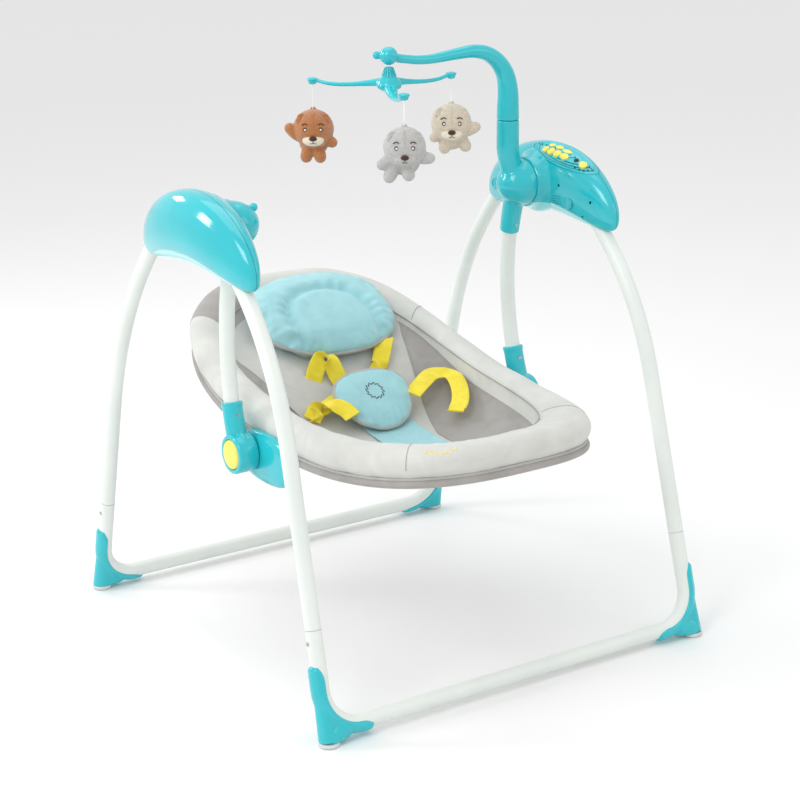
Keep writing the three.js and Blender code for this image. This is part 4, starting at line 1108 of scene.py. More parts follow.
def buildSwing():
    for hand, word in ((1, "right"), (-1, "left")):
        skin = fused("hubSkin", hubBm(hand), tealGloss, swing["voxel"], 7)
        if hand > 0:
            bm = bmesh.new()
            foot, top, radius = (value * mm for value in swing["plugBore"])
            addRod(bm, (swing["stubX"], 0, foot), (swing["stubX"], 0, top), radius, sides=40)
            bore = finished("plugBore", bm, tealGloss)
            cutWith(skin, bore)
        bm = meshOf(skin)
        clippedAt(bm, swing["face"])
        if hand < 0:
            # a small beaded peg matches the toy arm's place on this side
            root, bead, neck, tip = [(x * mm, 0, z * mm) for x, z in swing["peg"]]
            rodRadius, beadRadius, tipRadius = swing["pegRadii"]
            addRod(bm, root, neck, rodRadius * mm)
            addBall(bm, bead, beadRadius * mm)
            addBall(bm, tip, tipRadius * mm)
            bm = mirroredBm(bm)
        hub = finished(f"hub_body_{word}", bm, tealGloss, crease=50)
        rideOn(hub, "swing", "teal_plastic", f"hub_{word}")
        bm = bmesh.new()
        addSweep(bm, [hangerPoint(h, hand) for h in range(329, 582, 6)], swing["tubeRadius"], 36)
        rideOn(finished(f"hanger_tube_{word}", bm, tubePaint), "swing", "pale_tube", f"hanger_{word}")
        buildKnuckle(hand, word)


# Turned outlines are (distance from the recline axis, place across the swing)
knuckle = {
    "outline": [(0, 252.5), (21.5, 252.5), (21.6, 259), (22.2, 259.9), (25, 260), (27, 259.3), (28, 257),
                (28, 232), (27.2, 229.8), (25.5, 229), (0, 229)],
    "button": [(0, 263.2), (7, 263.05), (14, 262.5), (18.5, 261.4),
               (20.4, 260.2), (21, 258.4), (21, 256.2), (0, 256.2)],
    "swell": (14.8, 26.2, 26.2),
    "voxel": 1.2 * mm,
}


def turnedAcross(bm, outline, y, z, steps):
    addSpin(bm, [(away * mm, across * mm) for away, across in outline], (0, y, z), (1, 0, 0), steps)


def buildKnuckle(hand, word):
    y, z = swing["knuckleY"], swing["knuckleZ"]
    bm = bmesh.new()
    addSweep(bm, [hangerPoint(h) for h in range(306, 366, 5)] + [hangerPoint(366)], swing["socketRadius"], 32)
    addSweep(bm, [hangerPoint(h) for h in (361, 363, 365, 367)], swing["socketRadius"] + 0.0008, 32)
    addBall(bm, (0.2445, y + 0.001, z + 0.004), tuple(value * mm for value in knuckle["swell"]), 28)
    sleeve = fused("knuckleSkin", bm, tealGloss, knuckle["voxel"], 5)
    bm = bmesh.new()
    addRod(bm, (0.2525, y, z), (0.27, y, z), 0.024, sides=48)
    cut = finished("knuckleCut", bm, tealGloss)
    cutWith(sleeve, cut)
    bm = meshOf(sleeve)
    turnedAcross(bm, knuckle["outline"], y, z, 80)
    if hand < 0:
        bm = mirroredBm(bm)
    body = finished(f"knuckle_body_{word}", bm, tealGloss, crease=50)
    rideOn(body, "swing", "teal_plastic", f"knuckle_{word}")
    bm = bmesh.new()
    turnedAcross(bm, knuckle["button"], y, z, 72)
    if hand < 0:
        bm = mirroredBm(bm)
    name = f"recline_button_{word}"
    rideOn(finished("domed_" + name, bm, yellowPlastic, crease=50), name, "yellow_plastic", name)
    bm = bmesh.new()
    for height, radius in swing["screws"]:
        screw = hangerPoint(height, hand) + Vector((0, -swing["socketRadius"], 0))
        addRod(bm, screw + Vector((0, 0.003, 0)), screw - Vector((0, 0.0008, 0)), radius * mm)
    rideOn(finished(f"socket_screws_{word}", bm, steelFinish), "swing", "steel")


bracket = {
    "centre": (217.4 * mm, -28.5 * mm, 292 * mm),
    "half": (11.3 * mm, 68 * mm, 36 * mm),
    "square": 2.7,
    "cuts": 24,
}


def roundBody(centre, half, power, cuts):
    # A plump body with softly squared sides
    bm = bmesh.new()
    bmesh.ops.create_cube(bm, size=2)
    bmesh.ops.subdivide_edges(bm, edges=bm.edges, cuts=cuts, use_grid_fill=True)
    for v in bm.verts:
        p = v.co.normalized()
        size = sum(abs(c) ** power for c in p) ** (-1 / power)
        v.co = Vector(centre) + Vector((p.x * half[0], p.y * half[1], p.z * half[2])) * size
    return bm


def buildBrackets():
    for hand, word in ((1, "right"), (-1, "left")):
        x, y, z = bracket["centre"]
        bm = roundBody((hand * x, y, z), bracket["half"], bracket["square"], bracket["cuts"])
        body = finished(f"bracket_body_{word}", bm, tealGloss)
        rideOn(body, "seat", "teal_plastic", f"recline_bracket_{word}")


buildSwing()
buildBrackets()
print("swing built")

# Toy arm and mobile
toyArm = {
    "path": [(219, 716.3), (219, 735), (219, 757), (214.2, 781.1), (200.5, 801.5), (180.5, 815), (157, 820),
             (135, 819.3), (115, 817.8), (86, 815.5), (64, 816), (49, 818), (29, 821.5), (18, 825)],
    "radii": [16.5, 16, 15, 13.6, 12.2, 10.8, 9.6, 8.6, 7.8, 6.9, 6.5, 6.4, 6.4, 6.6],
    "ball": (13.5, 826.2, 12.9),
    "knob": (-14, 9.25, 1.0, 6.0),  # away from the ball's middle, then its radius
    "plug": (688.8, 724, 11.9),  # foot, top and radius
    "voxel": 1.15 * mm,
}
mobile = {
    "x": 13.5,
    "turn": 6.5,
    "reach": 115,
    # away from the middle, height, radius
    "arm": [(6, 789.5, 8.5), (16, 789, 7.4), (30, 787.4, 5.6), (48, 785.4, 4.4),
            (68, 784, 3.9), (88, 784.2, 3.6), (103, 786.6, 3.4), (114, 790, 3.3)],
    "frontArm": [(6, 786, 10), (18, 780, 9), (32, 775.6, 7.2), (50, 774.6, 5.4),
                 (70, 776.2, 4.4), (88, 779.4, 3.9), (103, 784, 3.5), (114, 788.6, 3.3)],
    "hub": [(0, 811.4), (5.4, 811.2), (6.2, 808), (7.6, 803), (10.5, 797.5), (15.5, 792),
            (18.2, 787), (17, 782), (11, 778), (5, 776), (0, 775.6)],
    "ribs": 16,
}


def toyArmBm():
    bm = bmesh.new()
    path = curveThrough([(x * mm, 0, z * mm) for x, z in toyArm["path"]], 5)
    radii = eased(toyArm["radii"], 5, len(path))
    addSweep(bm, path, [r * mm for r in radii], 40, up=Vector((0, 1, 0)))
    x, z, radius = toyArm["ball"]
    addBall(bm, (x * mm, 0, z * mm), radius * mm, 32)
    dx, y, dz, size = toyArm["knob"]
    knob = ((x + dx) * mm, y * mm, (z + dz) * mm)
    addRod(bm, (x * mm, 0, z * mm), knob, size * 0.72 * mm)
    addBall(bm, knob, size * mm, 18)
    return bm


def buildToyArm():
    bm = meshOf(fused("armSkin", toyArmBm(), tealGloss, toyArm["voxel"], 5))
    foot, top, radius = (value * mm for value in toyArm["plug"])
    addRod(bm, (swing["stubX"], 0, foot), (swing["stubX"], 0, top), radius, sides=40)
    rideOn(finished("toy_arm_tube", bm, tealGloss, crease=50), "toy_arm", "teal_plastic", "toy_arm")


def buildMobile():
    bm = bmesh.new()
    centre = Vector((mobile["x"] * mm, 0, 0))
    addSpin(bm, [(away * mm, z * mm) for away, z in mobile["hub"]], centre, (0, 0, 1), 48)
    for number in range(3):
        angle = math.radians(mobile["turn"] + 120 * number)
        away = Vector((math.cos(angle), math.sin(angle), 0))
        arm = mobile["frontArm" if number == 2 else "arm"]  # the front one drops sooner and hooks up
        path = curveThrough([centre + away * (r * mm) + Vector((0, 0, z * mm)) for r, z, _ in arm], 4)
        radii = eased([size for _, _, size in arm], 4, len(path))
        addSweep(bm, path, [r * mm for r in radii], 24, flat=0.8, rounded=True)
        end = centre + away * (mobile["reach"] * mm)
        addRod(bm, end + Vector((0, 0, 0.7825)), end + Vector((0, 0, 0.7895)), 5.4 * mm, 7.2 * mm, 28)
        addBall(bm, end + Vector((0, 0, 0.7895)), (0.0085, 0.0085, 0.0028), 14)
    bm = meshOf(fused("mobileSkin", bm, tealGloss, 0.0009, 5))
    for k in range(mobile["ribs"]):
        angle = 2 * math.pi * k / mobile["ribs"]
        out = Vector((math.cos(angle), math.sin(angle), 0))
        top, foot = out * 0.0056 + Vector((0, 0, 0.8102)), out * 0.0098 + Vector((0, 0, 0.7985))
        addRod(bm, centre + top, centre + foot, 0.0009, sides=8)
    rideOn(finished("mobile_body", bm, tealGloss, crease=50), "mobile", "teal_plastic", "mobile_spider")


buildToyArm()
buildMobile()
print("toy arm and mobile built")

# Plush bears. Their own axes are to their left as seen, out of the face, and up, in millimetres.
bearLook = {
    "facing": -33.56,
    "headZ": 719,
    "head": (29, 28, 28),
    "cordTop": 782.5,
    "beige": {"turn": 0, "fur": beigePlush, "muzzle": creamPlush, "slot": "beige_plush",
              "arms": [(37, 2, -6), (-26, 2, -20)], "legs": [(-10, 6, -36), (20, 4, -34)]},
    "brown": {"turn": 120, "fur": brownPlush, "muzzle": creamPlush, "slot": "brown_plush",
              "arms": [(-36, 4, 2), (28, 4, -19)], "legs": [(-11, 4, -40), (9, 8, -40)]},
    "grey": {"turn": 240, "fur": greyPlush, "muzzle": greyPlush, "slot": "grey_plush",
             "arms": [(-33, 2, -23), (36, 2, -15)], "legs": [(-21, 6, -40), (5, 10, -37)]},
}


def bearPlace(name):
    angle = math.radians(mobile["turn"] + bearLook[name]["turn"])
    x = mobile["x"] + mobile["reach"] * math.cos(angle)
    return Vector((x, mobile["reach"] * math.sin(angle), bearLook["headZ"])) * mm


def buildBear(name):
    look = bearLook[name]
    az = math.radians(bearLook["facing"])
    right, out = Vector((math.cos(az), math.sin(az), 0)), Vector((math.sin(az), -math.cos(az), 0))
    turn = Matrix((right, out, Vector((0, 0, 1)))).transposed().to_4x4()
    place = bearPlace(name)

    def at(r, o, u):
        return place + (turn @ Vector((r, o, u))) * mm

    def onHead(r, u, lift=0.0):
        size = 28.4 + lift
        return at(r, math.sqrt(max(1, size ** 2 - r ** 2 - u ** 2)), u)

    def ball(bm, centre, size, rings=18, tilt=0):
        roll = turn @ Matrix.Rotation(math.radians(tilt), 4, "Y")
        return addBall(bm, centre, tuple(s * mm for s in size), rings, roll)

    bm = bmesh.new()
    ball(bm, at(0, 0, 0), bearLook["head"], 36)
    ball(bm, at(0, -7, -20), (21, 18, 20), 28)
    for r, o, u in look["arms"]:
        side = 1 if r > 0 else -1
        elbow = at((side * 14 + r) / 2, o, (u - 14) / 2)
        path = curveThrough([at(side * 14, 0, -12), elbow, at(r * 0.93, o, u)], 4)
        addSweep(bm, path, [(9.5 - 0.2 * k) * mm for k in range(len(path))], 20, rounded=True)
    for r, o, u in look["legs"]:
        path = [at(r * 0.6, -2, -22), at(r * 0.8, o * 0.6, u * 0.8), at(r, o, u + 1)]
        addSweep(bm, path, [0.0095, 0.0092, 0.0088], 20, rounded=True)
    bm = meshOf(fused("bearSkin", bm, look["fur"], 0.0012, 3))
    for side in (-1, 1):  # folded felt ears
        ball(bm, at(side * 17.5, 11, 18.5), (6.4, 2.2, 4.8), 14, tilt=side * 48)
        ball(bm, at(side * 19.5, 14.5, 14.2), (4.4, 1.8, 5.4), 12, tilt=side * -24)
    ball(bm, at(0, -4, 28), (4, 4, 3), 10)
    plush = finished(f"plush_{name}", bm, look["fur"], crease=70)
    rideOn(plush, f"bear_{name}", look["slot"], f"bear_{name}")
    bm = bmesh.new()
    ball(bm, at(0, 19.5, -12.5), (15.5, 10, 9), 20)
    rideOn(finished(f"muzzle_{name}", bm, look["muzzle"]), f"bear_{name}", look["slot"])
    bm = bmesh.new()
    ball(bm, at(0, 29.2, -9.2), (5.6, 2.4, 3.6), 14)
    for side in (-1, 1):
        ball(bm, onHead(side * 11, 3, -0.4), (3.0, 1.4, 3.0), 14)
        arch = [9.6 + 1.8 * math.sin(math.pi * (k + 0.4) / 3.2) for k in range(4)]
        brow = [onHead(side * (8 + 2.4 * k), height, 0.3) for k, height in enumerate(arch)]
        addSweep(bm, brow, 0.75 * mm, 10, rounded=True)
    mouth = [at(-4.6, 27.8, -15.6), at(-2, 28.8, -16.4), at(0, 29.2, -14.8),
             at(2, 28.8, -16.4), at(4.6, 27.8, -15.6)]
    addSweep(bm, mouth, 0.5 * mm, 8, rounded=True)
    addSweep(bm, [at(0, 29.6, -12), at(0, 29.3, -15)], 0.5 * mm, 8, rounded=True)
    rideOn(finished(f"face_{name}", bm, noseBrown), f"bear_{name}", look["slot"])
    # a white dot in the middle of each eye is a painted highlight
    bm = bmesh.new()
    for side in (-1, 1):
        ball(bm, onHead(side * 11, 3, 0.9), (1.5, 0.6, 1.5), 10)
    rideOn(finished(f"eye_painted_highlight_{name}", bm, whiteCord), f"bear_{name}", look["slot"])
    bm = bmesh.new()
    seam = [onHead(0, 2.5 * k, 0.0) for k in range(1, 11)]
    addSweep(bm, seam, 0.42 * mm, 8, rounded=True)
    rideOn(finished(f"head_seam_{name}", bm, look["fur"]), f"bear_{name}", look["slot"])
    bm = bmesh.new()
    top = Vector((place.x, place.y, bearLook["cordTop"] * mm))
    addSweep(bm, [place + Vector((0, 0, 0.0285)), place.lerp(top, 0.7), top], 0.7 * mm, 10)
    rideOn(finished(f"hanging_cord_{name}", bm, whiteCord), f"bear_{name}", "cord", f"string_{name}")


for name in ("beige", "brown", "grey"):
    buildBear(name)
print("bears built")

# Seat
seat = {
    "halfWidth": 188,
    "halfLength": 314,
    "centreY": -10,
    "height": 331,
    "tilt": 7.2,
    "lift": 50,
    "headLift": 9,
    "fill": (0.04, 0.62, 0.97),
    "square": 2.9,
    "taper": 0.1,
    "depth": 58,
    "thickness": 14,
    "frontLip": 1.15,
    "around": 240,
    "rim": (27, 24),  # half width and half height of the padded rim
    "darkRim": (1.727, 2.303),  # where round the rim its dark piece starts and ends
    "crossSeams": (0.52, 3.96, 5.62),
    "rodLine": (20, -24, 5.4),  # out, up and radius of the hem round the rod
}
# Where round the rim the stem starts, its steps, and its place across the roll
sprig = {
    "start": 4.07,
    "step": 0.017,
    "points": 15,
    "around": 46,
    "sway": 4,
    "reach": 9,
    "leaf": (2.9, 1.3, 0.5),
}


def rimHeight(v):
    rise = v * seat["halfLength"] * math.sin(math.radians(seat["tilt"]))
    return seat["height"] + rise + seat["lift"] * v * v + seat["headLift"] * max(0, v) ** 3


def bowlDepth(share, v):
    start, end, most = seat["fill"]
    t = max(0, min(1, (v - start) / (end - start)))
    return seat["depth"] * (1 - share ** 3) * (1 - most * t * t * (3 - 2 * t))


def seatPoint(angle, share, outward, rise, bowl=False):
    # A point of the seat in metres: share runs from the middle (0) to the rim (1)
    front = max(0, -math.sin(angle)) ** 1.6
    if outward < 0:  # the padded rim is widest along the front edge
        outward *= 1 + seat["frontLip"] * front
    elif bowl and share > 0.7:
        share -= (share - 0.7) * 0.45 * front
    c = math.copysign(abs(math.cos(angle)) ** (2 / seat["square"]), math.cos(angle))
    s = math.copysign(abs(math.sin(angle)) ** (2 / seat["square"]), math.sin(angle))
    x = (seat["halfWidth"] * (1 + seat["taper"] * math.sin(angle)) * share + outward) * c
    u = (seat["halfLength"] * share + outward) * s
    v = u / seat["halfLength"]
    z = rimHeight(v) + rise - (bowlDepth(share, v) if bowl else 0)
    return Vector((x, seat["centreY"] + u * math.cos(math.radians(seat["tilt"])), z)) * mm


def bowlFloor(x, y):
    # Height of the seat's inner surface in metres, from millimetres
    v = (y - seat["centreY"]) / math.cos(math.radians(seat["tilt"])) / seat["halfLength"]
    share = (abs(v) ** seat["square"] + abs(x / seat["halfWidth"]) ** seat["square"]) ** (1 / seat["square"])
    return (rimHeight(v) - bowlDepth(min(1, share), v)) * mm


def rimHit(surface, angle, around):
    # Where a line out of the middle of the rim's padding leaves its skin
    a = math.radians(around)
    outside = seatPoint(angle, 1, 45 * math.cos(a), 1 + 40 * math.sin(a))
    hit, normal, _, _ = surface.ray_cast(outside, seatPoint(angle, 1, 0, 1) - outside)
    return hit, normal


def stitchSprig(surface):
    # A stitched stem with small leaves on both sides, on the front edge
    bm = bmesh.new()
    stem = []
    size = tuple(value * mm for value in sprig["leaf"])
    for k in range(sprig["points"]):
        turn = sprig["start"] + sprig["step"] * k
        around = sprig["around"] + sprig["sway"] * math.sin(0.6 * k)
        stem.append(rimHit(surface, turn, around)[0])
        if k % 2:
            side = 1 if k % 4 == 1 else -1
            hit, normal = rimHit(surface, turn, around + side * sprig["reach"])
            along = (hit - stem[-1]) + (stem[-1] - stem[-2]) * 0.8
            along = (along - normal * along.dot(normal)).normalized()
            lie = Matrix((along, normal.cross(along), normal)).transposed().to_4x4()
            addBall(bm, (hit + stem[-1]) / 2 + normal * 0.0002, size, 10, lie)
    addSweep(bm, stem, 0.55 * mm, 8, rounded=True)
    rideOn(finished("stitched_sprig", bm, threadYellow), "seat", "grey_fabric")


def buildSeat():
    count = seat["around"]
    under = [(share, 0, -seat["thickness"], True) for share in (0.05, 0.25, 0.45, 0.6, 0.72, 0.82, 0.9)]
    under.append((0.97, 0, -20, False))
    wide, high = seat["rim"]
    turns = [math.radians(a) for a in range(-75, 151, 15)]
    roll = [(1, wide * math.cos(a), 1 + high * math.sin(a), False) for a in turns]
    inner = [(0.88, 0.01, 6, True), (0.85, 0.01, 4.6, True), (0.82, 0.01, 3.4, True)]
    inner += [(share, 0, 2.4 - 0.024 * k, True) for k, share in enumerate(
        [0.78, 0.74, 0.7, 0.66, 0.62, 0.58, 0.54, 0.5, 0.45, 0.4, 0.35, 0.3, 0.25, 0.2, 0.15, 0.1, 0.05])]
    bm = bmesh.new()
    rings, place = [], {}
    rows = under + roll + inner
    for row, (share, outward, rise, bowl) in enumerate(rows):
        verts, edges = ringOf(bm, Matrix.Identity(4), count, capped=row in (0, len(rows) - 1))
        for k, v in enumerate(verts):
            angle = 2 * math.pi * k / count
            v.co = seatPoint(angle, share, outward, rise, bowl)
            place[v] = (row, angle)
        rings.append(edges)
    bridged(bm, rings)
    bmesh.ops.recalc_face_normals(bm, faces=bm.faces)
    bm.normal_update()
    first, last = len(under), len(under) + len(roll)
    moves = {}
    for v, (row, angle) in place.items():
        if row < first:
            continue
        if row < last:  # the padded rim swells between its seams and puckers towards them
            turn = (row - first) / (last - first - 1)
            tight = abs(2 * turn - 1) ** 2
            pucker = noise.noise(Vector((math.cos(angle) * 13, math.sin(angle) * 13, turn * 1.2)))
            swell = noise.noise(v.co * 17)
            moves[v] = 1.5 * swell * (1 - tight) + 1.7 * pucker * tight ** 0.6 - 0.4
        else:
            moves[v] = 1.3 * noise.noise(v.co * 13) + 0.7 * noise.noise(v.co * 37)
    for v, amount in moves.items():
        v.co += v.normal * amount * mm
    for face in bm.faces:
        row, angle = (min(place[v][k] for v in face.verts) for k in (0, 1))
        if row < first:
            face.material_index = 2
        elif row < last:
            face.material_index = 2 if seat["darkRim"][0] <= angle < seat["darkRim"][1] else 0
        else:
            face.material_index = 1
    surface = BVHTree.FromBMesh(bm)
    body = finished("seat_padding", bm, [seatLight, seatInside, seatDark], crease=180)
    rideOn(body, "seat", "grey_fabric", "seat_sling")
    for name, outward, rise, radius, material, sides in (
        ("rim_seam", -23.4, 13.2, 1.0, seatDark, 10),
        ("rim_piping", 19.8, -17.2, 2.3, pipingGrey, 12),
    ):
        bm = bmesh.new()
        line = [seatPoint(2 * math.pi * k / 200, 1, outward, rise) for k in range(200)]
        addSweep(bm, line, radius * mm, sides, closed=True)
        rideOn(finished(name, bm, material), "seat", "grey_fabric")
    bm = bmesh.new()
    for hand in (-1, 1):  # seams between the centre and the side panels
        line = []
        for k in range(60):
            y = -185 + 6.2 * k
            wide = sidePanelEdge["halfWidth"] / mm + sidePanelEdge["lean"] * y
            away = max(sidePanelEdge["least"] / mm, wide)
            x = sidePanelEdge["middle"] / mm + hand * away
            if abs(x) < 150:
                line.append(Vector((x * mm, y * mm, bowlFloor(x, y) + 2.5 * mm)))
        addSweep(bm, line, 0.8 * mm, 8)
    for angle in (*seat["crossSeams"], *seat["darkRim"]):  # seams across the rim
        addSweep(bm, [rimHit(surface, angle, a)[0] for a in range(-10, 142, 6)], 0.7 * mm, 8)
    rideOn(finished("seat_seams", bm, seatDark), "seat", "grey_fabric")
    stitchSprig(surface)
    bm = bmesh.new()
    out, up, radius = seat["rodLine"]
    line = [seatPoint(2 * math.pi * k / 200, 1, out, up) for k in range(200)]
    addSweep(bm, line, radius * mm, 18, closed=True)
    rideOn(finished("rod_hem", bm, seatDark), "seat", "grey_fabric", "seat_ring")


buildSeat()
print("seat built")

# Pillow and crotch pad, puffed up with air pressure
padLook = {
    "head_pillow": {
        "name": "head_cushion", "centre": (18, 202, 410), "slope": 30, "half": (120, 90),
        "pressure": 4, "cap": 9, "voxel": 4.5, "fill": 0.6, "piping": 3.0, "body": "seat",
    },
    "crotch_pad": {
        "name": "crotch_cushion", "centre": (15, 42.5, 320), "slope": 42, "half": (57, 50),
        "pressure": 4, "cap": 5, "voxel": 3, "fill": 0.6, "piping": 2.6, "body": "seat",
    },
}


def puffed(node, look):
    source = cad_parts[node]
    bm = bmesh.new()
    bm.from_mesh(source.data)
    bmesh.ops.remove_doubles(bm, verts=bm.verts, dist=1e-5)
    pad = finished("padRough", bm, blueCloth)
    remesh = pad.modifiers.new("even", "REMESH")
    remesh.mode = "VOXEL"
    remesh.voxel_size = look["voxel"] * mm
    applied(pad)
    start = [v.co.copy() for v in pad.data.vertices]
    cloth = pad.modifiers.new("air", "CLOTH")
    cloth.settings.quality = 6
    cloth.settings.use_pressure = True
    cloth.settings.uniform_pressure_force = look["pressure"]
    cloth.settings.effector_weights.gravity = 0
    cloth.settings.tension_stiffness = 12
    cloth.settings.bending_stiffness = 0.4
    scene.frame_start, scene.frame_end = 1, 20
    cloth.point_cache.frame_start, cloth.point_cache.frame_end = 1, 20
    for number in range(1, 21):
        scene.frame_set(number)
    applied(pad)
    scene.frame_set(1)
    cap = look["cap"] * mm
    bm = meshOf(pad)
    for v, was in zip(bm.verts, start):
        move = v.co - was
        v.co = was + move * min(1, cap / max(move.length, 1e-9))
    softened(bm, 4)
    bmesh.ops.subdivide_edges(bm, edges=bm.edges, cuts=1, use_grid_fill=True)
    softened(bm, 2)
    return bm


def padAxes(look):
    slope = math.radians(look["slope"])
    return Matrix.Translation(Vector(look["centre"]) * mm) @ Matrix.Rotation(slope, 4, "X")


def outlineOf(bm, axes, count=96):
    # The widest line of a pad, looked at square to it, smoothed along its length
    back = axes.inverted()
    best = [None] * count
    for v in bm.verts:
        p = back @ v.co
        k = int(math.atan2(p.y, p.x) / (2 * math.pi) * count) % count
        if best[k] is None or p.xy.length > best[k].xy.length:
            best[k] = p
    best = [p for p in best if p is not None]
    for _ in range(5):
        best = [(best[k - 1] + best[k] * 2 + best[(k + 1) % len(best)]) / 4 for k in range(len(best))]
    return best


# The pillow's raised arch, in shares of its half size: half width, half height, and its foot below the middle
pillowArch = {"wide": 0.58, "high": 0.66, "foot": 0.22, "rise": 3.4, "ringRise": 2.2, "groove": 6.5}


def shapePillow(bm, look, axes):
    # A puffy ring round a raised arch; puckers run out from the seam between them
    back = axes.inverted()
    for v in bm.verts:  # the cover is a little bigger than its plain block
        p = back @ v.co
        v.co = axes @ Vector((p.x * 1.07 + 0.002, p.y * 1.05 + 0.003, p.z))
    bm.normal_update()
    face = axes.to_3x3() @ Vector((0, 0, 1))
    for v in bm.verts:
        p = back @ v.co
        if v.normal.dot(face) < 0.15:
            continue
        a, b = p.x / (look["half"][0] * mm), p.y / (look["half"][1] * mm)
        across, up = a / pillowArch["wide"], b + pillowArch["foot"]
        inner = math.hypot(across, up / pillowArch["high"]) if up >= 0 else abs(across)
        angle = math.atan2(up, a)
        groove = math.exp(-((inner - 1) / 0.11) ** 2)
        ring = max(0, min(1, (inner - 1) / 0.25))
        pucker = math.sin(angle * 21 + 1.5 * math.sin(angle * 5)) * math.exp(-((inner - 1.12) / 0.16) ** 2)
        rim = math.exp(-((math.hypot(a, b) - 0.9) / 0.08) ** 2) * math.sin(angle * 34)
        rise = pillowArch["rise"] * min(1, (1 - inner) / 0.25) if inner < 1 else pillowArch["ringRise"] * ring
        rise -= pillowArch["groove"] * groove
        v.co += face * (rise + 1.3 * pucker + 0.7 * rim + 0.9 * noise.noise(v.co * 30)) * mm


def shapeCrotchPad(bm, look, axes):
    back = axes.inverted()
    face = axes.to_3x3() @ Vector((0, 0, 1))
    for v in bm.verts:  # broad at the top and narrow at the foot
        p = back @ v.co
        b = p.y / (look["half"][1] * mm)
        v.co = axes @ Vector((p.x * (1.12 + 0.25 * b) - 0.005, p.y * 1.06, p.z))
    bm.normal_update()
    for v in bm.verts:
        p = back @ v.co
        if v.normal.dot(face) < 0.1:
            continue
        a, b = p.x / (look["half"][0] * mm), p.y / (look["half"][1] * mm)
        gather = math.sin(a * 26) * max(0, min(1, (-b - 0.3) / 0.5))
        v.co += face * (0.8 * gather + 0.7 * noise.noise(v.co * 34)) * mm


stitchedRing = {"centre": (-6, 8), "radius": 13, "leaves": 12, "leaf": (2.4, 1.0, 0.35)}


def leafRing(surface, axes):
    # Small stitched leaves lie on the cloth in a ring
    centre, radius, leaves, size = stitchedRing.values()
    face = axes.to_3x3() @ Vector((0, 0, 1))
    bm = bmesh.new()
    for k in range(leaves):
        angle = 2 * math.pi * k / leaves
        for step in range(2):
            spread = angle + step * math.pi / leaves
            reach = radius + (0.9 if step else -0.9)
            local = Vector((*centre, 0)) + Vector((math.cos(spread), math.sin(spread), 0)) * reach
            start = axes @ (local * mm) + face * 0.06
            hit, normal, _, _ = surface.ray_cast(start, -face)
            if hit is None:
                continue
            along = axes.to_3x3() @ Vector((-math.sin(spread + 0.5), math.cos(spread + 0.5), 0))
            along = (along - normal * along.dot(normal)).normalized()
            across = normal.cross(along)
            turn = Matrix((along, across, normal)).transposed().to_4x4()
            addBall(bm, hit + normal * 0.0002, tuple(s * mm for s in size), 8, turn)
    rideOn(finished("stitched_leaf_ring", bm, threadDark), "seat", "blue_fabric")


def buildPads():
    for node, look in padLook.items():
        axes = padAxes(look)
        bm = puffed(node, look)
        shapePillow(bm, look, axes) if node == "head_pillow" else shapeCrotchPad(bm, look, axes)
        edge = [axes @ p for p in outlineOf(bm, axes)]
        surface = BVHTree.FromBMesh(bm)
        pad = finished(look["name"], bm, blueCloth, crease=180)
        rideOn(pad, look["body"], "blue_fabric", node)
        bm = bmesh.new()
        addSweep(bm, edge, look["piping"] * mm, 14, closed=True, up=axes.to_3x3() @ Vector((0, 0, 1)))
        rideOn(finished(look["name"] + "_piping", bm, pipingGrey), look["body"], "grey_fabric")
        if node == "crotch_pad":
            leafRing(surface, axes)


buildPads()
print("pads puffed and piped")

# Harness webbing: each strap runs through a few points
straps = {
    "width": 13.0,
    "thick": 1.4,
    "right_strap": [
        [(99, 150, 366), (92, 140, 374), (80, 128, 366), (68, 117, 352), (54, 104, 338), (44, 92, 328)],
        [(70, 34, 318), (92, 44, 327), (120, 58, 334), (141, 56, 333),
         (146, 36, 332), (137, 8, 322), (118, -20, 312), (98, -36, 304)],
    ],
    "left_strap": [
        [(-52, 116, 336), (-44, 119, 356), (-32, 120, 372), (-22, 116, 368), (-18, 108, 350), (-14, 98, 336)],
        [(-22, 66, 328), (-44, 64, 322), (-64, 60, 316), (-84, 56, 312), (-96, 40, 308)],
        [(-98, 46, 306), (-84, 50, 320), (-66, 44, 324), (-52, 30, 318), (-48, 14, 310)],
    ],
}


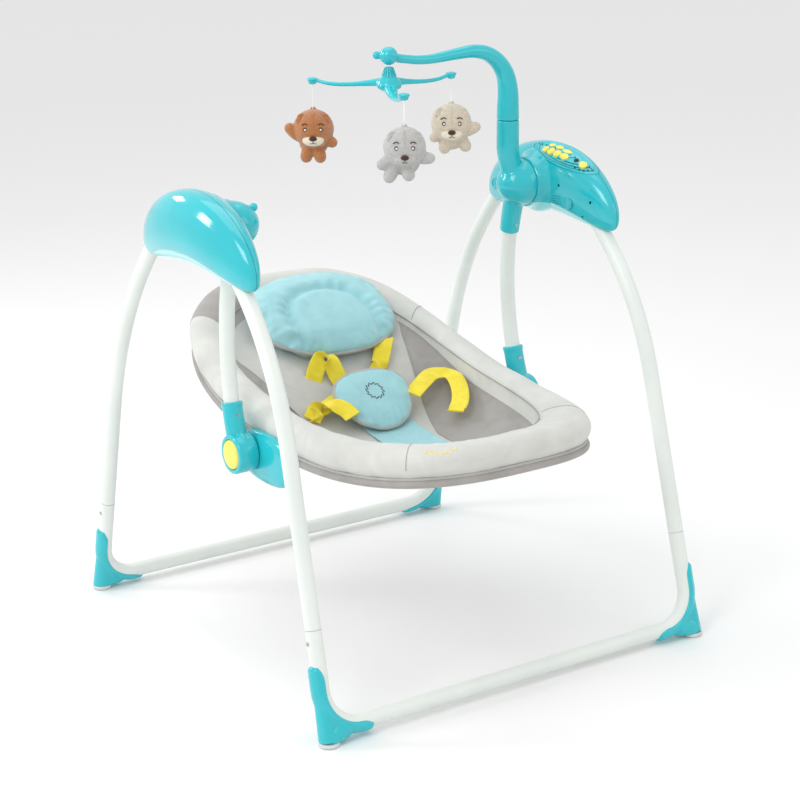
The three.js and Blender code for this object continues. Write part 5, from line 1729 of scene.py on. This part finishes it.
def buildHarness():
    for word in ("right", "left"):
        bm = bmesh.new()
        for points in straps[word + "_strap"]:
            path = curveThrough([Vector(p) * mm for p in points], 6)
            frames = framesAlong(path)
            rings = []
            for i, matrix in enumerate(frames):
                tangent = matrix.col[2].to_3d()
                steep = abs(tangent.y) > 0.55 or abs(tangent.z) > 0.6
                flatSide = Vector((0.9, -0.35, 0.1)) if steep else Vector((0.1, 0.9, 0.4))
                side = (flatSide - tangent * flatSide.dot(tangent)).normalized()
                if i:
                    side = side * 0.35 + before * 0.65
                    side = (side - tangent * side.dot(tangent)).normalized()
                before = side
                turned = Matrix((side, tangent.cross(side), tangent)).transposed().to_4x4()
                size = Matrix.Diagonal((straps["width"] * mm, straps["thick"] * mm, 1, 1))
                place = Matrix.Translation(path[i]) @ turned @ size
                verts, edges = ringOf(bm, place, 24, capped=i in (0, len(path) - 1))
                for v in verts:  # squarer edges than an ellipse
                    local = place.inverted() @ v.co
                    scale = max(abs(local.x), abs(local.y), 1e-6) ** -0.55
                    v.co = place @ (local * scale)
                rings.append(edges)
            bridged(bm, rings)
        strap = finished(f"webbing_{word}", bm, webbingYellow, crease=60)
        rideOn(strap, "seat", "yellow_webbing", f"harness_{word}")


buildHarness()

# Blue panel of the seat under the crotch pad
bluePatch = {"x": (-22, 58), "y": (-78, 30), "lift": 2.2, "steps": 24}


def buildBluePatch():
    bm = bmesh.new()
    steps = bluePatch["steps"]
    bmesh.ops.create_grid(bm, x_segments=steps, y_segments=steps, size=0.5)
    (x0, x1), (y0, y1) = bluePatch["x"], bluePatch["y"]
    for v in bm.verts:
        x = x0 + (v.co.x + 0.5) * (x1 - x0)
        y = y0 + (v.co.y + 0.5) * (y1 - y0)
        v.co = Vector((x * mm, y * mm, bowlFloor(x, y) + (bluePatch["lift"] + 2.4) * mm))
    bmesh.ops.solidify(bm, geom=bm.faces[:], thickness=0.0012)
    rideOn(finished("seat_blue_panel", bm, blueCloth), "seat", "blue_fabric")


buildBluePatch()
print("harness built")

# Inner parts and small CAD parts keep their shape and take these finishes
finishes = {
    "battery_door": tealGloss, "battery_pack": darkPlastic,
    "control_board": boardFinish, "speaker": darkPlastic,
    "drive_coil": copperFinish, "drive_rocker": whitePlastic, "swing_axle_left": steelFinish,
    "swing_axle_right": steelFinish, "front_fold_pin_left": steelFinish, "front_fold_pin_right": steelFinish,
    "rear_fold_pin_left": steelFinish, "rear_fold_pin_right": steelFinish,
}
for name, material in finishes.items():
    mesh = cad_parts[name].data
    mesh.materials.clear()
    mesh.materials.append(material)

# Floor
floorMaterial, _, floorShader = bareMaterial("paleFloor")
floorShader.inputs["Base Color"].default_value = (0.9, 0.9, 0.9, 1)
floorShader.inputs["Roughness"].default_value = 0.6
bm = bmesh.new()
bmesh.ops.create_grid(bm, x_segments=1, y_segments=1, size=30)
floor = finished("paleGround", bm, floorMaterial)
print("floor laid")
